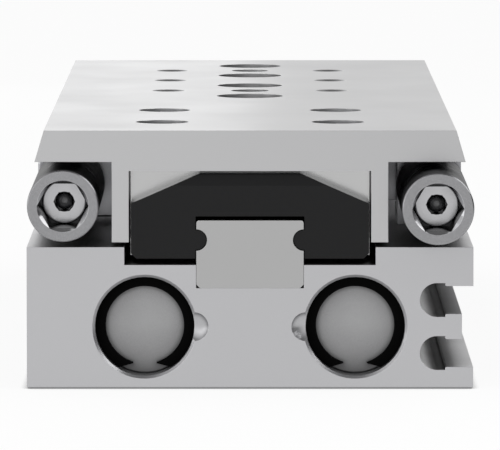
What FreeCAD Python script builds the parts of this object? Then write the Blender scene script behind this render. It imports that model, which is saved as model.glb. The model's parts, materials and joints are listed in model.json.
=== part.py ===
import FreeCAD, Part

import os
import re
import Sketcher

# Pneumatic mini slide with two pistons, 16 mm bore and 100 mm stroke.
# Frame: +X right, +Y the way the slide advances, +Z up. The origin is the middle of the housing's
# underside. Lengths are millimetres, and "from the rear" is counted from the housing's rear face.

Vector = FreeCAD.Vector

SIZES = {
    # housing block
    "stroke": 100,
    "housing_beyond_stroke": 98,
    "housing_width": 75,
    "housing_height": 23.9,
    "base_chamfer": 0.3,
    "recess_side_gap": 0.9,
    "recess_depth": 3,
    # guide rail
    "rail_width": 18,
    "rail_height": 11.4,
    "rail_seat_depth": 3.9,
    "rail_side_gap": 0.05,
    "rail_foot_chamfer": 0.6,
    "rail_top_radius": 0.5,
    "rail_screw_first": 30,
    "rail_screw_pitch": 30,
    "rail_screw_web": 6.2,
    "ball_groove_radius": 1.8,
    "ball_groove_height": 8.1,
    # cylinder bores and what closes them
    "bore_spacing": 35.4,
    "bore_height": 10.5,
    "bore_diameter": 16,
    "seat_diameter": 16.7,
    "seat_gap": 0.05,
    "mouth_chamfer": 0.45,
    "ring_depth": 2.6,
    "ring_thickness": 1,
    "ring_axial_play": 0.1,
    "ring_groove_diameter": 17.2,
    "ring_radial_play": 0.05,
    "ring_inner_diameter": 13.2,
    "ring_tip_spread": 1.98,
    "ring_tip_drop": 6.45,
    "ring_end_slope": 0.275,
    "cap_length": 9.3,
    "cap_nose_length": 3,
    "cap_nose_diameter": 10,
    "cap_edge_chamfer": 0.3,
    "gland_length": 11.8,
    "seal_groove_depth": 1.4,
    "seal_groove_width": 2.2,
    "seal_play": 0.05,
    "notch_radius": 2.44,
    "notch_offset": 8.3,
    "notch_depth": 1.2,
    # sensor slots along the right side
    "slot_radius": 2.85,
    "slot_mouth": 4.7,
    "slot_centre_depth": 6.1,
    "slot_lip_depth": 4.7,
    "slot_upper_height": 15,
    "slot_lower_height": 6.05,
    "slot_land_setback": 1.9,
    # supply ports on the left side
    "port_diameter": 4.3,
    "port_length": 7,
    "port_spot_diameter": 9,
    "port_spot_depth": 0.3,
    "port_channel_diameter": 2.6,
    "port_rear_distance": 15.5,
    "port_front_distance": 23.5,
    # fastening from below
    "base_thread_diameter": 5.2,
    "base_thread_depth": 9,
    "base_thread_first": 45,
    "base_thread_pitch": 60,
    "base_centring_diameter": 7,
    "base_centring_depth": 3,
    "base_centring_first": 75,
    "base_centring_pitch": 60,
    # pistons and rods
    "piston_start": 17.5,
    "piston_length": 45,
    "piston_gap": 0.07,
    "piston_seal_gap": 0.03,
    "piston_seal_width": 3,
    "piston_seal_depth": 1.6,
    "piston_seal_inset": 4,
    "magnet_width": 5,
    "magnet_depth": 2.4,
    "rod_diameter": 8,
    "rod_gap": 0.04,
    "rod_spigot_diameter": 5,
    "rod_spigot_length": 10,
    "rod_seal_diameter": 12.4,
    "rod_seal_length": 3.6,
    # carriage on the rail
    "carriage_start": 7.3,
    "carriage_length": 58.4,
    "carriage_leg_gap": 0.15,
    "carriage_roof": 7.67,
    "carriage_floor_gap": 1.04,
    "carriage_side_gap": 0.3,
    "rail_top_gap": 0.65,
    "end_cap_length": 7,
    "end_cap_flat": 8.4,
    "end_cap_top_drop": 0.44,
    "end_cap_shoulder_drop": 5.5,
    "end_cap_side_drop": 0.2,
    "end_cap_foot_chamfer": 0.9,
    "end_cap_rail_gap": 0.12,
    "end_cap_bevel_height": 2.1,
    "end_cap_bevel_depth": 0.8,
    "tongue_gap": 0.1,
    "ball_gap": 0.05,
    "ball_first": 6.1,
    "ball_pitch": 6.6,
    # slide plate
    "slide_overhang": 1,
    "slide_top_width": 69.2,
    "wing_width": 72.3,
    "slide_plate": 6.78,
    "wing_thickness": 5.27,
    "leg_span": 46.4,
    "leg_thickness": 2.85,
    "leg_gap": 0.82,
    "front_block_length": 20,
    "front_block_gap": 1.5,
    "carriage_screw_row": 21.5,
    "hole_grid": 30,
    "payload_first": 105,
    "payload_thread_diameter": 5.2,
    "thread_chamfer": 0.4,
    "centring_diameter": 7,
    "centring_depth": 3,
    "access_hole_first": 90,
    "access_diameter": 12,
    # screws, by thread size
    "screw_thread": 5,
    "screw_thread_gap": 0.05,
    "screw_hole": 5.5,
    "screw_head_diameter": 8.5,
    "screw_head_height": 5,
    "low_head_height": 3.5,
    "screw_sink_diameter": 9.5,
    "low_sink_diameter": 9,
    "screw_head_below": 0.45,
    "screw_socket": 4,
    "socket_depth": 2.4,
    "rail_screw_reach": 7,
    "carriage_screw_reach": 6.5,
    "plate_screw_reach": 9,
    "stop_screw_thread": 4,
    "stop_screw_head": 7,
    "stop_screw_head_height": 4,
    "stop_screw_socket": 3,
    "stop_screw_reach": 6.5,
    "sunk_screw_thread": 3,
    "sunk_screw_head": 5.4,
    "sunk_screw_taper": 1.2,
    "sunk_screw_rim": 0.3,
    "sunk_screw_reach": 3.6,
    "sunk_screw_socket": 2,
    "sunk_screw_pitch": 6,
    "hole_extra_depth": 0.8,
    # yoke plate at the front
    "yoke_thickness": 12,
    "yoke_side_inset": 2.5,
    "yoke_floor_gap": 1.5,
    "yoke_top_drop": 1.1,
    "yoke_corner_radius": 2,
    "yoke_screw_spread": 24,
    "yoke_screw_drop": 7,
    "dowel_spread": 36.2,
    "dowel_diameter": 3,
    "dowel_length": 12,
    "dowel_gap": 0.02,
    "rod_seat_depth": 3,
    "yoke_thread_diameter": 4.3,
    "yoke_thread_depth": 9,
    "yoke_thread_spread": 54,
    "yoke_thread_height": 24.5,
    "yoke_thread_rise": 12,
    "yoke_slot_clearance": 1,
    # stop sleeves, their carriers and the stops that they meet
    "leg_sleeve_gap": 2.15,
    "stop_over_housing": 7.1,
    "sleeve_diameter": 12,
    "sleeve_head_length": 47.2,
    "sleeve_thread_diameter": 8,
    "sleeve_thread_length": 18.8,
    "sleeve_edge_chamfer": 0.2,
    "sleeve_mouth_diameter": 8.7,
    "sleeve_mouth_depth": 0.55,
    "sleeve_hex": 7.5,
    "sleeve_hex_depth": 11,
    "sleeve_left_out": 2.4,
    "sleeve_right_out": 8.6,
    "insert_depth": 9.5,
    "insert_diameter": 7.4,
    "insert_round": 0.7,
    "insert_length": 22,
    "insert_socket": 3,
    "insert_socket_depth": 3.6,
    "insert_mouth_diameter": 3.44,
    "insert_tip_length": 0.9,
    "spindle_diameter": 4,
    "buffer_diameter": 4.9,
    "buffer_length": 6,
    "sleeve_gap": 0.05,
    "stop_gap": 0.1,
    "nut_across_flats": 10,
    "nut_thickness": 3,
    "carrier_start": 48,
    "carrier_length": 12,
    "carrier_outer_reach": 5.75,
    "holder_start": 45,
    "holder_length": 11,
    "holder_inner_reach": 5.65,
    "holder_outer_reach": 5.5,
    "holder_top_gap": 0.8,
    "holder_foot_length": 6.5,
    "holder_foot_height": 2.6,
    "slide_stop_length": 12.5,
    "slide_stop_rise": 3.3,
    "fixed_stop_length": 16,
    "fixed_stop_screw_pitch": 7.6,
}

# Places that follow from the sizes. X and Z are in the part's frame, Y is from the housing's rear.
PLACES = {
    "housing_length": "stroke + housing_beyond_stroke",
    "rear_y": "-housing_length / 2",
    "recess_floor": "housing_height - recess_depth",
    "rail_floor": "recess_floor - rail_seat_depth",
    "rail_top": "rail_floor + rail_height",
    "groove_z": "rail_floor + ball_groove_height",
    "carriage_top": "rail_top + rail_top_gap + carriage_roof",
    "carriage_floor": "recess_floor + carriage_floor_gap",
    "slide_top": "carriage_top + slide_plate",
    "wing_floor": "slide_top - wing_thickness",
    "leg_floor": "housing_height + leg_gap",
    "leg_outer": "leg_span / 2",
    "leg_inner": "leg_outer - leg_thickness",
    "carriage_half": "leg_inner - carriage_leg_gap",
    "recess_half": "carriage_half + recess_side_gap",
    "front_block_floor": "rail_top + front_block_gap",
    "slide_length": "housing_length + slide_overhang",
    "notch_sphere": "notch_radius * notch_radius / (2 * notch_depth) + notch_depth / 2",
    "seat_front": "ring_depth + ring_thickness + ring_axial_play",
    "cap_shoulder": "seat_front + cap_length",
    "gland_shoulder": "housing_length - seat_front - gland_length",
    "piston_front": "piston_start + piston_length",
    "stop_x": "leg_outer + leg_sleeve_gap + sleeve_diameter / 2",
    "holder_inner_side": "stop_x - holder_inner_reach",
    "holder_outer_side": "stop_x + holder_outer_reach",
    "carrier_outer_side": "stop_x + carrier_outer_reach",
    "stop_z": "housing_height + stop_over_housing",
    "holder_top": "wing_floor - holder_top_gap",
    "sleeve_length": "sleeve_head_length + sleeve_thread_length",
    "left_tip": "sleeve_length - sleeve_left_out",
    "right_tip": "sleeve_length - sleeve_right_out",
    "fixed_stop_start": "left_tip + stroke + stop_gap",
    "slide_stop_start": "right_tip + stop_gap",
    "slide_stop_floor": "housing_height + slide_stop_rise",
    "yoke_half": "housing_width / 2 - yoke_side_inset",
    "yoke_height": "slide_top - yoke_top_drop - yoke_floor_gap",
    "yoke_screw_z": "slide_top - yoke_screw_drop",
    "yoke_foot_side": "housing_width / 2 - slot_centre_depth - slot_radius - yoke_slot_clearance",
    "yoke_shoulder": "slot_upper_height + slot_radius + yoke_slot_clearance - yoke_floor_gap",
}

RAIL_SCREW_COUNT = 6
PAYLOAD_ROW_COUNT = 3
ACCESS_HOLE_COUNT = 4
BASE_THREAD_COUNT = 3
BASE_CENTRING_COUNT = 2
BALL_COUNT = 8
SAME = 0.01
LEAST_CUT = 0.01
SIDES = {"left": -1, "right": 1}

doc = FreeCAD.newDocument("mini_slide")


def fill_sheet(name, cells):
    sheet = doc.addObject("Spreadsheet::Sheet", name)
    for row, (alias, content) in enumerate(cells.items(), start=1):
        sheet.set("A%d" % row, alias)
        sheet.set("B%d" % row, content)
        sheet.setAlias("B%d" % row, alias)
    doc.recompute()
    return sheet


def formula(text):
    # Put the sheet's name before each size or place that the text mentions.
    def named(match):
        word = match.group(0)
        if word in SIZES:
            return "sizes." + word
        if word in PLACES:
            return "places." + word
        return word
    return re.sub(r"[a-z_]+", named, text)


sizes = fill_sheet("sizes", {alias: str(number) for alias, number in SIZES.items()})
places = fill_sheet("places", {alias: "=" + formula(text) for alias, text in PLACES.items()})


def number(text):
    return float(sizes.evalExpression(formula(text)))


def bind(item, prop, text):
    item.setExpression(prop, formula(text))


def place(item, x="0", y="0", z="0"):
    # y is from the housing's rear face.
    bind(item, ".Placement.Base.x", x)
    bind(item, ".Placement.Base.y", "rear_y + " + y)
    bind(item, ".Placement.Base.z", z)


def new_body(label, x="0", y="0", z="0"):
    body = doc.addObject("PartDesign::Body", label)
    body.Label = label
    place(body, x, y, z)
    return body


def new_sketch(body, name, plane, offset="0"):
    # The plane is XY, XZ or YZ of the body itself, moved along its own normal by the offset.
    sketch = body.newObject("Sketcher::SketchObject", name)
    origin_plane = [part for part in body.Origin.OriginFeatures if part.Role == plane + "_Plane"][0]
    sketch.AttachmentSupport = [(origin_plane, "")]
    sketch.MapMode = "FlatFace"
    bind(sketch, ".AttachmentOffset.Base.z", offset)
    return sketch


def fix_point(sketch, shape, point, across, along):
    for kind, text in (("DistanceX", across), ("DistanceY", along)):
        line = Sketcher.Constraint(kind, -1, 1, shape, point, number(text))
        index = sketch.addConstraint(line)
        bind(sketch, "Constraints[%d]" % index, text)


def draw_outline(sketch, corners):
    # A closed outline of straight lines, with each corner held by its two coordinates.
    points = [Vector(number(across), number(along), 0) for across, along in corners]
    first = sketch.GeometryCount
    count = len(corners)
    for i in range(count):
        sketch.addGeometry(Part.LineSegment(points[i], points[(i + 1) % count]), False)
    for i in range(count):
        follower = first + (i + 1) % count
        sketch.addConstraint(Sketcher.Constraint("Coincident", first + i, 2, follower, 1))
    for i, (across, along) in enumerate(corners):
        fix_point(sketch, first + i, 1, across, along)


def draw_circles(sketch, centres, radius):
    for across, along in centres:
        middle = Vector(number(across), number(along), 0)
        shape = sketch.addGeometry(Part.Circle(middle, Vector(0, 0, 1), number(radius)), False)
        fix_point(sketch, shape, 3, across, along)
        index = sketch.addConstraint(Sketcher.Constraint("Radius", shape, number(radius)))
        bind(sketch, "Constraints[%d]" % index, radius)


def draw_axis(sketch, start, end):
    points = [Vector(number(across), number(along), 0) for across, along in (start, end)]
    line = sketch.addGeometry(Part.LineSegment(points[0], points[1]), True)
    fix_point(sketch, line, 1, start[0], start[1])
    fix_point(sketch, line, 2, end[0], end[1])


def raised(body, kind, sketch, length=None, away=False):
    # A Pad grows along the sketch's normal and a Pocket cuts against it, unless away is set.
    feature = body.newObject("PartDesign::" + kind, sketch.Name + "_" + kind.lower())
    feature.Profile = sketch
    feature.Reversed = away
    if length is None:
        feature.Type = "ThroughAll"
    else:
        bind(feature, "Length", length)
    sketch.Visibility = False
    return feature


def turned(body, kind, sketch, axis):
    feature = body.newObject("PartDesign::" + kind, sketch.Name + "_" + kind.lower())
    feature.Profile = sketch
    feature.ReferenceAxis = (sketch, [axis])
    feature.Angle = 360
    return feature


def extrude_along_y(body, name, corners, length, start="0"):
    sketch = new_sketch(body, name, "XZ", "-(%s)" % start)
    draw_outline(sketch, corners)
    return raised(body, "Pad", sketch, length, away=True)


def cut_along_y(body, name, corners=(), circles=(), radius=None, length=None, start="0"):
    # A cut that starts at the given distance from the body's rear and runs forwards.
    sketch = new_sketch(body, name, "XZ", "-(%s)" % start)
    if corners:
        draw_outline(sketch, corners)
    if circles:
        draw_circles(sketch, circles, radius)
    return raised(body, "Pocket", sketch, length)


def cut_back_along_y(body, name, circles, radius, length, start):
    sketch = new_sketch(body, name, "XZ", "-(%s)" % start)
    draw_circles(sketch, circles, radius)
    return raised(body, "Pocket", sketch, length, away=True)


def cut_down(body, name, circles, radius, length, top):
    sketch = new_sketch(body, name, "XY", top)
    draw_circles(sketch, circles, radius)
    return raised(body, "Pocket", sketch, length)


def cut_up(body, name, circles, radius, length, bottom="0"):
    sketch = new_sketch(body, name, "XY", bottom)
    draw_circles(sketch, circles, radius)
    return raised(body, "Pocket", sketch, length, away=True)


def cut_along_x(body, name, circles, radius, length, start, away):
    sketch = new_sketch(body, name, "YZ", start)
    draw_circles(sketch, circles, radius)
    return raised(body, "Pocket", sketch, length, away=away)


def turn_about_y(body, name, corners):
    # The corners are distance along Y and radius.
    sketch = new_sketch(body, name, "YZ")
    draw_outline(sketch, corners)
    return turned(body, "Revolution", sketch, "H_Axis")


def bore_along_y(body, name, x, z, corners):
    sketch = new_sketch(body, name, "YZ", x)
    draw_outline(sketch, [(along, "%s + %s" % (z, radius)) for along, radius in corners])
    draw_axis(sketch, ("0", z), ("10", z))
    return turned(body, "Groove", sketch, "Axis0")


def turn_about_z(body, name, corners):
    # The corners are radius and height.
    sketch = new_sketch(body, name, "XZ")
    draw_outline(sketch, corners)
    return turned(body, "Revolution", sketch, "V_Axis")


def hexagon(across_flats):
    # Two flats lie level.
    tip = "(%s) / sqrt(3)" % across_flats
    half = "(%s) / 2" % across_flats
    return [
        (tip, "0"),
        (tip + " / 2", half),
        ("-%s / 2" % tip, half),
        ("-" + tip, "0"),
        ("-%s / 2" % tip, "-" + half),
        (tip + " / 2", "-" + half),
    ]


def cut_hexagon(body, name, plane, across_flats, length, offset="0", away=False):
    sketch = new_sketch(body, name, plane, offset)
    draw_outline(sketch, hexagon(across_flats))
    return raised(body, "Pocket", sketch, length, away=away)


def soften_edges(body, kind, size, wanted):
    # Round or chamfer the edges of the body's last feature that the test picks.
    doc.recompute()
    base = body.Tip
    names = []
    for i, edge in enumerate(base.Shape.Edges, start=1):
        if wanted(edge):
            names.append("Edge%d" % i)
    feature = body.newObject("PartDesign::" + kind, "%s_%s" % (body.Name, kind.lower()))
    feature.Base = (base, names)
    bind(feature, "Radius" if kind == "Fillet" else "Size", size)
    return feature


def is_circle_at(height, radius):
    level = number(height)
    wide = number(radius)

    def test(edge):
        if edge.Curve.TypeId != "Part::GeomCircle":
            return False
        return abs(edge.Curve.Radius - wide) < SAME and abs(edge.BoundBox.Center.z - level) < SAME
    return test


def is_long_edge(length, height):
    level = number(height)
    run = number(length)

    def test(edge):
        box = edge.BoundBox
        return abs(box.YLength - run) < SAME and box.XLength < SAME and abs(box.Center.z - level) < SAME
    return test


def group(label, piece, spots):
    # Equal loose pieces that share one node: each is a copy of the piece at its own place.
    copies = []
    for i, (x, y, z) in enumerate(spots, start=1):
        copy = doc.addObject("App::Link", "%s_%d" % (label, i))
        copy.LinkedObject = piece
        place(copy, x, y, z)
        copies.append(copy)
    compound = doc.addObject("Part::Compound", label)
    compound.Label = label
    compound.Links = copies
    return compound


def grid(first, second):
    return [(across, along) for across in first for along in second]


def series(first, pitch, count):
    return ["%s + %d * %s" % (first, i, pitch) for i in range(count)]


def both_sides(half):
    return ["-(%s)" % half, half]


def signed(side, text):
    return text if SIDES[side] > 0 else "-(%s)" % text


rail_screw_places = series("rail_screw_first", "rail_screw_pitch", RAIL_SCREW_COUNT)
carriage_screw_places = grid(both_sides("hole_grid / 2"), series("carriage_screw_row", "hole_grid", 2))
rod_axes = grid(both_sides("bore_spacing / 2"), ["bore_height"])


def stop_screw_rows(start, length):
    middle = "%s + %s / 2" % (start, length)
    return ["%s - fixed_stop_screw_pitch / 2" % middle, "%s + fixed_stop_screw_pitch / 2" % middle]


def side_screw_rows(start, length):
    middle = "%s + %s / 2" % (start, length)
    return ["%s - sunk_screw_pitch / 2" % middle, "%s + sunk_screw_pitch / 2" % middle]


fixed_stop_rows = stop_screw_rows("fixed_stop_start", "fixed_stop_length")
fixed_stop_x = "-(holder_inner_side + holder_outer_side) / 2"
holder_foot_start = "holder_start + holder_length"
holder_screw_y = holder_foot_start + " + holder_foot_length / 2"
holder_screw_x = ["stop_x - sunk_screw_pitch / 2", "stop_x + sunk_screw_pitch / 2"]
side_screw_z = "stop_z + sleeve_thread_diameter / 2"
side_thread_depth = "sunk_screw_reach + sunk_screw_rim + sunk_screw_taper - leg_thickness + hole_extra_depth"


def make_housing():
    body = new_body("housing")
    half = "housing_width / 2"
    recess = "recess_half"
    groove = "(rail_width / 2 + rail_side_gap)"
    extrude_along_y(body, "housing_section", [
        ("-" + half, "0"),
        (half, "0"),
        (half, "housing_height"),
        (recess, "housing_height"),
        (recess, "recess_floor"),
        (groove, "recess_floor"),
        (groove, "rail_floor"),
        ("-" + groove, "rail_floor"),
        ("-" + groove, "recess_floor"),
        ("-" + recess, "recess_floor"),
        ("-" + recess, "housing_height"),
        ("-" + half, "housing_height"),
    ], "housing_length")
    cut_sensor_slots(body)
    soften_edges(body, "Chamfer", "base_chamfer", lambda edge: edge.BoundBox.ZMax < SAME)
    for side in SIDES:
        cut_cylinder(body, side)
    cut_ports(body)
    centre_line = [("0", y) for y in rail_screw_places]
    cut_down(body, "rail_thread", centre_line, "screw_thread / 2",
             "rail_screw_reach + hole_extra_depth", "rail_floor")
    threads = [("0", y) for y in series("base_thread_first", "base_thread_pitch", BASE_THREAD_COUNT)]
    cut_up(body, "base_thread", threads, "base_thread_diameter / 2", "base_thread_depth")
    centrings = [("0", y) for y in series("base_centring_first", "base_centring_pitch", BASE_CENTRING_COUNT)]
    cut_up(body, "base_centring", centrings, "base_centring_diameter / 2", "base_centring_depth")
    stop_holes = [(fixed_stop_x, y) for y in fixed_stop_rows]
    cut_down(body, "stop_thread", stop_holes, "stop_screw_thread / 2",
             "stop_screw_reach + hole_extra_depth", "housing_height")
    holder_holes = [(x, holder_screw_y) for x in holder_screw_x]
    cut_down(body, "holder_thread", holder_holes, "sunk_screw_thread / 2",
             "sunk_screw_reach + hole_extra_depth", "housing_height")
    return body


def cut_sensor_slots(body):
    # Two C-shaped slots with lips; the land between them is set back from the side face.
    face = "housing_width / 2"
    outside = "(housing_width / 2 + slot_radius)"
    centre = "(%s - slot_centre_depth)" % face
    lip = "(%s - slot_lip_depth)" % face
    land = "(%s - slot_land_setback)" % face
    corners = [(outside, "slot_lower_height - slot_mouth / 2")]
    for middle in ("slot_lower_height", "slot_upper_height"):
        if middle == "slot_upper_height":
            corners.append((land, "slot_upper_height - slot_mouth / 2"))
        corners.append((lip, middle + " - slot_mouth / 2"))
        corners.append((lip, middle + " - slot_radius"))
        corners.append((centre, middle + " - slot_radius"))
        corners.append((centre, middle + " + slot_radius"))
        corners.append((lip, middle + " + slot_radius"))
        corners.append((lip, middle + " + slot_mouth / 2"))
        if middle == "slot_lower_height":
            corners.append((land, "slot_lower_height + slot_mouth / 2"))
    corners.append((outside, "slot_upper_height + slot_mouth / 2"))
    cut_along_y(body, "slot_mouths", corners)
    cut_along_y(body, "slot_rounds", (), grid([centre], ["slot_lower_height", "slot_upper_height"]),
                "slot_radius")


def cut_cylinder(body, side):
    # One turned bore: mouth chamfer, seat with ring groove, cylinder, and the same at the front.
    seat = "seat_diameter / 2"
    mouth = "(seat_diameter / 2 + mouth_chamfer)"
    groove = "ring_groove_diameter / 2"
    back = "housing_length - "
    corners = [
        ("0", "0"),
        ("0", mouth),
        ("mouth_chamfer", seat),
        ("ring_depth", seat),
        ("ring_depth", groove),
        ("seat_front", groove),
        ("seat_front", seat),
        ("cap_shoulder", seat),
        ("cap_shoulder", "bore_diameter / 2"),
        ("gland_shoulder", "bore_diameter / 2"),
        ("gland_shoulder", seat),
        (back + "seat_front", seat),
        (back + "seat_front", groove),
        (back + "ring_depth", groove),
        (back + "ring_depth", seat),
        (back + "mouth_chamfer", seat),
        ("housing_length", mouth),
        ("housing_length", "0"),
    ]
    bore_x = signed(side, "bore_spacing / 2")
    bore_along_y(body, "bore_" + side, bore_x, "bore_height", corners)
    # A shallow dish towards the middle frees the ring's edge for pliers.
    dish = body.newObject("PartDesign::SubtractiveSphere", "notch_dish_" + side)
    bind(dish, "Radius", "notch_sphere")
    bind(dish, ".Placement.Base.x", signed(side, "bore_spacing / 2 - notch_offset"))
    bind(dish, ".Placement.Base.y", "notch_depth - notch_sphere")
    bind(dish, ".Placement.Base.z", "bore_height")


def cut_ports(body):
    # Each port feeds the left bore, and its channel goes on through the web to the right bore.
    start = "-housing_width / 2"
    spots = [(y, "bore_height") for y in ("port_rear_distance", "housing_length - port_front_distance")]
    cut_along_x(body, "port_spot", spots, "port_spot_diameter / 2", "port_spot_depth", start, True)
    cut_along_x(body, "port", spots, "port_diameter / 2", "port_length", start, True)
    reach = "housing_width / 2 + bore_spacing / 2"
    cut_along_x(body, "port_channel", spots, "port_channel_diameter / 2", reach, start, True)


def make_guide_rail():
    body = new_body("guide_rail", z="rail_floor")
    half = "rail_width / 2"
    foot = "(rail_width / 2 - rail_foot_chamfer)"
    extrude_along_y(body, "rail_section", [
        ("-" + foot, "0"),
        (foot, "0"),
        (half, "rail_foot_chamfer"),
        (half, "rail_height"),
        ("-" + half, "rail_height"),
        ("-" + half, "rail_foot_chamfer"),
    ], "housing_length")
    soften_edges(body, "Fillet", "rail_top_radius", is_long_edge("housing_length", "rail_height"))
    cut_along_y(body, "ball_groove", (), grid(both_sides(half), ["ball_groove_height"]), "ball_groove_radius")
    holes = [("0", y) for y in rail_screw_places]
    cut_down(body, "rail_screw_hole", holes, "screw_hole / 2", None, "rail_height")
    cut_down(body, "rail_screw_sink", holes, "screw_sink_diameter / 2", "rail_height - rail_screw_web",
             "rail_height")
    return body


def cap_screw(label, thread, head, head_height, socket, socket_deep, reach):
    # A socket screw that stands on its thread: z = 0 is under the head.
    body = doc.addObject("PartDesign::Body", label)
    shank = "(%s / 2 - screw_thread_gap)" % thread
    turn_about_z(body, label + "_profile", [
        ("0", "-(%s)" % reach),
        (shank, "-(%s)" % reach),
        (shank, "0"),
        ("%s / 2" % head, "0"),
        ("%s / 2" % head, head_height),
        ("0", head_height),
    ])
    cut_hexagon(body, label + "_socket", "XY", socket, socket_deep, head_height)
    return body


def sunk_screw(label):
    # A countersunk screw; z = 0 is the top of its head.
    body = doc.addObject("PartDesign::Body", label)
    shank = "(sunk_screw_thread / 2 - screw_thread_gap)"
    reach = "(sunk_screw_rim + sunk_screw_taper + sunk_screw_reach)"
    turn_about_z(body, label + "_profile", [
        ("0", "-" + reach),
        (shank, "-" + reach),
        (shank, "-(sunk_screw_rim + sunk_screw_taper)"),
        ("sunk_screw_head / 2", "-sunk_screw_rim"),
        ("sunk_screw_head / 2", "0"),
        ("0", "0"),
    ])
    cut_hexagon(body, label + "_socket", "XY", "sunk_screw_socket", "sunk_screw_taper", "0")
    return body


def make_rail_screws():
    screw = cap_screw("rail_screw", "screw_thread", "screw_head_diameter", "screw_head_height",
                      "screw_socket", "socket_depth", "rail_screw_web + rail_screw_reach")
    return group("rail_screws", screw, [("0", y, "rail_floor + rail_screw_web") for y in rail_screw_places])


def make_end_cap(side):
    # The nose keeps the piston off the port.
    body = new_body("end_cap_" + side, signed(side, "bore_spacing / 2"), "seat_front", "bore_height")
    outer = "(seat_diameter / 2 - seat_gap)"
    ring_floor = "(seat_diameter / 2 - seal_groove_depth)"
    ring_start = "(cap_length - seal_groove_width) / 2"
    ring_end = "(cap_length + seal_groove_width) / 2"
    turn_about_y(body, "end_cap_profile", [
        ("0", "0"),
        ("0", outer + " - cap_edge_chamfer"),
        ("cap_edge_chamfer", outer),
        (ring_start, outer),
        (ring_start, ring_floor),
        (ring_end, ring_floor),
        (ring_end, outer),
        ("cap_length", outer),
        ("cap_length", "cap_nose_diameter / 2"),
        ("cap_length + cap_nose_length", "cap_nose_diameter / 2"),
        ("cap_length + cap_nose_length", "0"),
    ])
    return body


def ring_body(label, x, y, length, inner, outer, z="bore_height"):
    body = new_body(label, x, y, z)
    turn_about_y(body, label + "_profile", [
        ("0", inner),
        (length, inner),
        (length, outer),
        ("0", outer),
    ])
    return body


def make_end_cap_seal(side):
    start = "seat_front + (cap_length - seal_groove_width) / 2 + seal_play"
    return ring_body("end_cap_seal_" + side, signed(side, "bore_spacing / 2"), start,
                     "seal_groove_width - 2 * seal_play", "seat_diameter / 2 - seal_groove_depth",
                     "seat_diameter / 2")


def make_retaining_ring(end, side):
    # An open ring; its ends are cut on a slant, and the gap faces down.
    if end == "rear":
        start = "ring_depth + ring_axial_play / 2"
    else:
        start = "housing_length - ring_depth - ring_axial_play / 2 - ring_thickness"
    body = new_body("%s_retaining_ring_%s" % (end, side), signed(side, "bore_spacing / 2"), start,
                    "bore_height")
    sketch = new_sketch(body, "ring_outline", "XZ")
    draw_circles(sketch, [("0", "0")], "ring_groove_diameter / 2 - ring_radial_play")
    draw_circles(sketch, [("0", "0")], "ring_inner_diameter / 2")
    raised(body, "Pad", sketch, "ring_thickness", away=True)
    wide = "ring_groove_diameter / 3"
    tip = "ring_tip_spread"
    slant = "-(ring_tip_drop + (%s - %s) * ring_end_slope)" % (wide, tip)
    inside = "-ring_inner_diameter / 3"
    below = "-ring_groove_diameter"
    cut_along_y(body, "ring_gap", [
        ("-" + tip, inside),
        ("-" + tip, "-ring_tip_drop"),
        ("-" + wide, slant),
        ("-" + wide, below),
        (wide, below),
        (wide, slant),
        (tip, "-ring_tip_drop"),
        (tip, inside),
    ])
    return body


def make_piston(side):
    body = new_body("piston_" + side, signed(side, "bore_spacing / 2"), "piston_start", "bore_height")
    outer = "(bore_diameter / 2 - piston_gap)"
    seal_floor = "(bore_diameter / 2 - piston_seal_depth)"
    magnet_floor = "(bore_diameter / 2 - magnet_depth)"
    inset = "piston_seal_inset"
    corners = [("0", "0"), ("0", outer)]
    corners += [(inset, outer), (inset, seal_floor)]
    corners += [(inset + " + piston_seal_width", seal_floor), (inset + " + piston_seal_width", outer)]
    middle = "piston_length / 2"
    corners += [(middle + " - magnet_width / 2", outer), (middle + " - magnet_width / 2", magnet_floor)]
    corners += [(middle + " + magnet_width / 2", magnet_floor), (middle + " + magnet_width / 2", outer)]
    far = "piston_length - piston_seal_inset"
    corners += [(far + " - piston_seal_width", outer), (far + " - piston_seal_width", seal_floor)]
    corners += [(far, seal_floor), (far, outer)]
    corners += [("piston_length", outer), ("piston_length", "rod_spigot_diameter / 2")]
    corners += [("piston_length - rod_spigot_length", "rod_spigot_diameter / 2")]
    corners += [("piston_length - rod_spigot_length", "0")]
    turn_about_y(body, "piston_profile", corners)
    return body


def make_piston_seals(side):
    ring = doc.addObject("PartDesign::Body", "piston_seal_" + side)
    turn_about_y(ring, "piston_seal_profile", [
        ("seal_play", "bore_diameter / 2 - piston_seal_depth"),
        ("piston_seal_width - seal_play", "bore_diameter / 2 - piston_seal_depth"),
        ("piston_seal_width - seal_play", "bore_diameter / 2 - piston_seal_gap"),
        ("seal_play", "bore_diameter / 2 - piston_seal_gap"),
    ])
    x = signed(side, "bore_spacing / 2")
    return group("piston_seals_" + side, ring, [
        (x, "piston_start + piston_seal_inset", "bore_height"),
        (x, "piston_front - piston_seal_inset - piston_seal_width", "bore_height"),
    ])


def make_piston_magnet(side):
    start = "piston_start + (piston_length - magnet_width) / 2 + seal_play"
    return ring_body("piston_magnet_" + side, signed(side, "bore_spacing / 2"), start,
                     "magnet_width - 2 * seal_play", "bore_diameter / 2 - magnet_depth",
                     "bore_diameter / 2 - piston_gap")


def make_piston_rod(side):
    # A spigot holds the piston; the front end is registered in the yoke plate and tapped.
    body = new_body("piston_rod_" + side, signed(side, "bore_spacing / 2"),
                    "piston_front - rod_spigot_length", "bore_height")
    spigot = "(rod_spigot_diameter / 2 - screw_thread_gap)"
    front = "slide_length + rod_seat_depth - piston_front + rod_spigot_length"
    tapped = "(plate_screw_reach + hole_extra_depth)"
    turn_about_y(body, "piston_rod_profile", [
        ("0", "0"),
        ("0", spigot),
        ("rod_spigot_length", spigot),
        ("rod_spigot_length", "rod_diameter / 2"),
        (front, "rod_diameter / 2"),
        (front, "screw_thread / 2"),
        ("%s - %s" % (front, tapped), "screw_thread / 2"),
        ("%s - %s" % (front, tapped), "0"),
    ])
    return body


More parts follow.
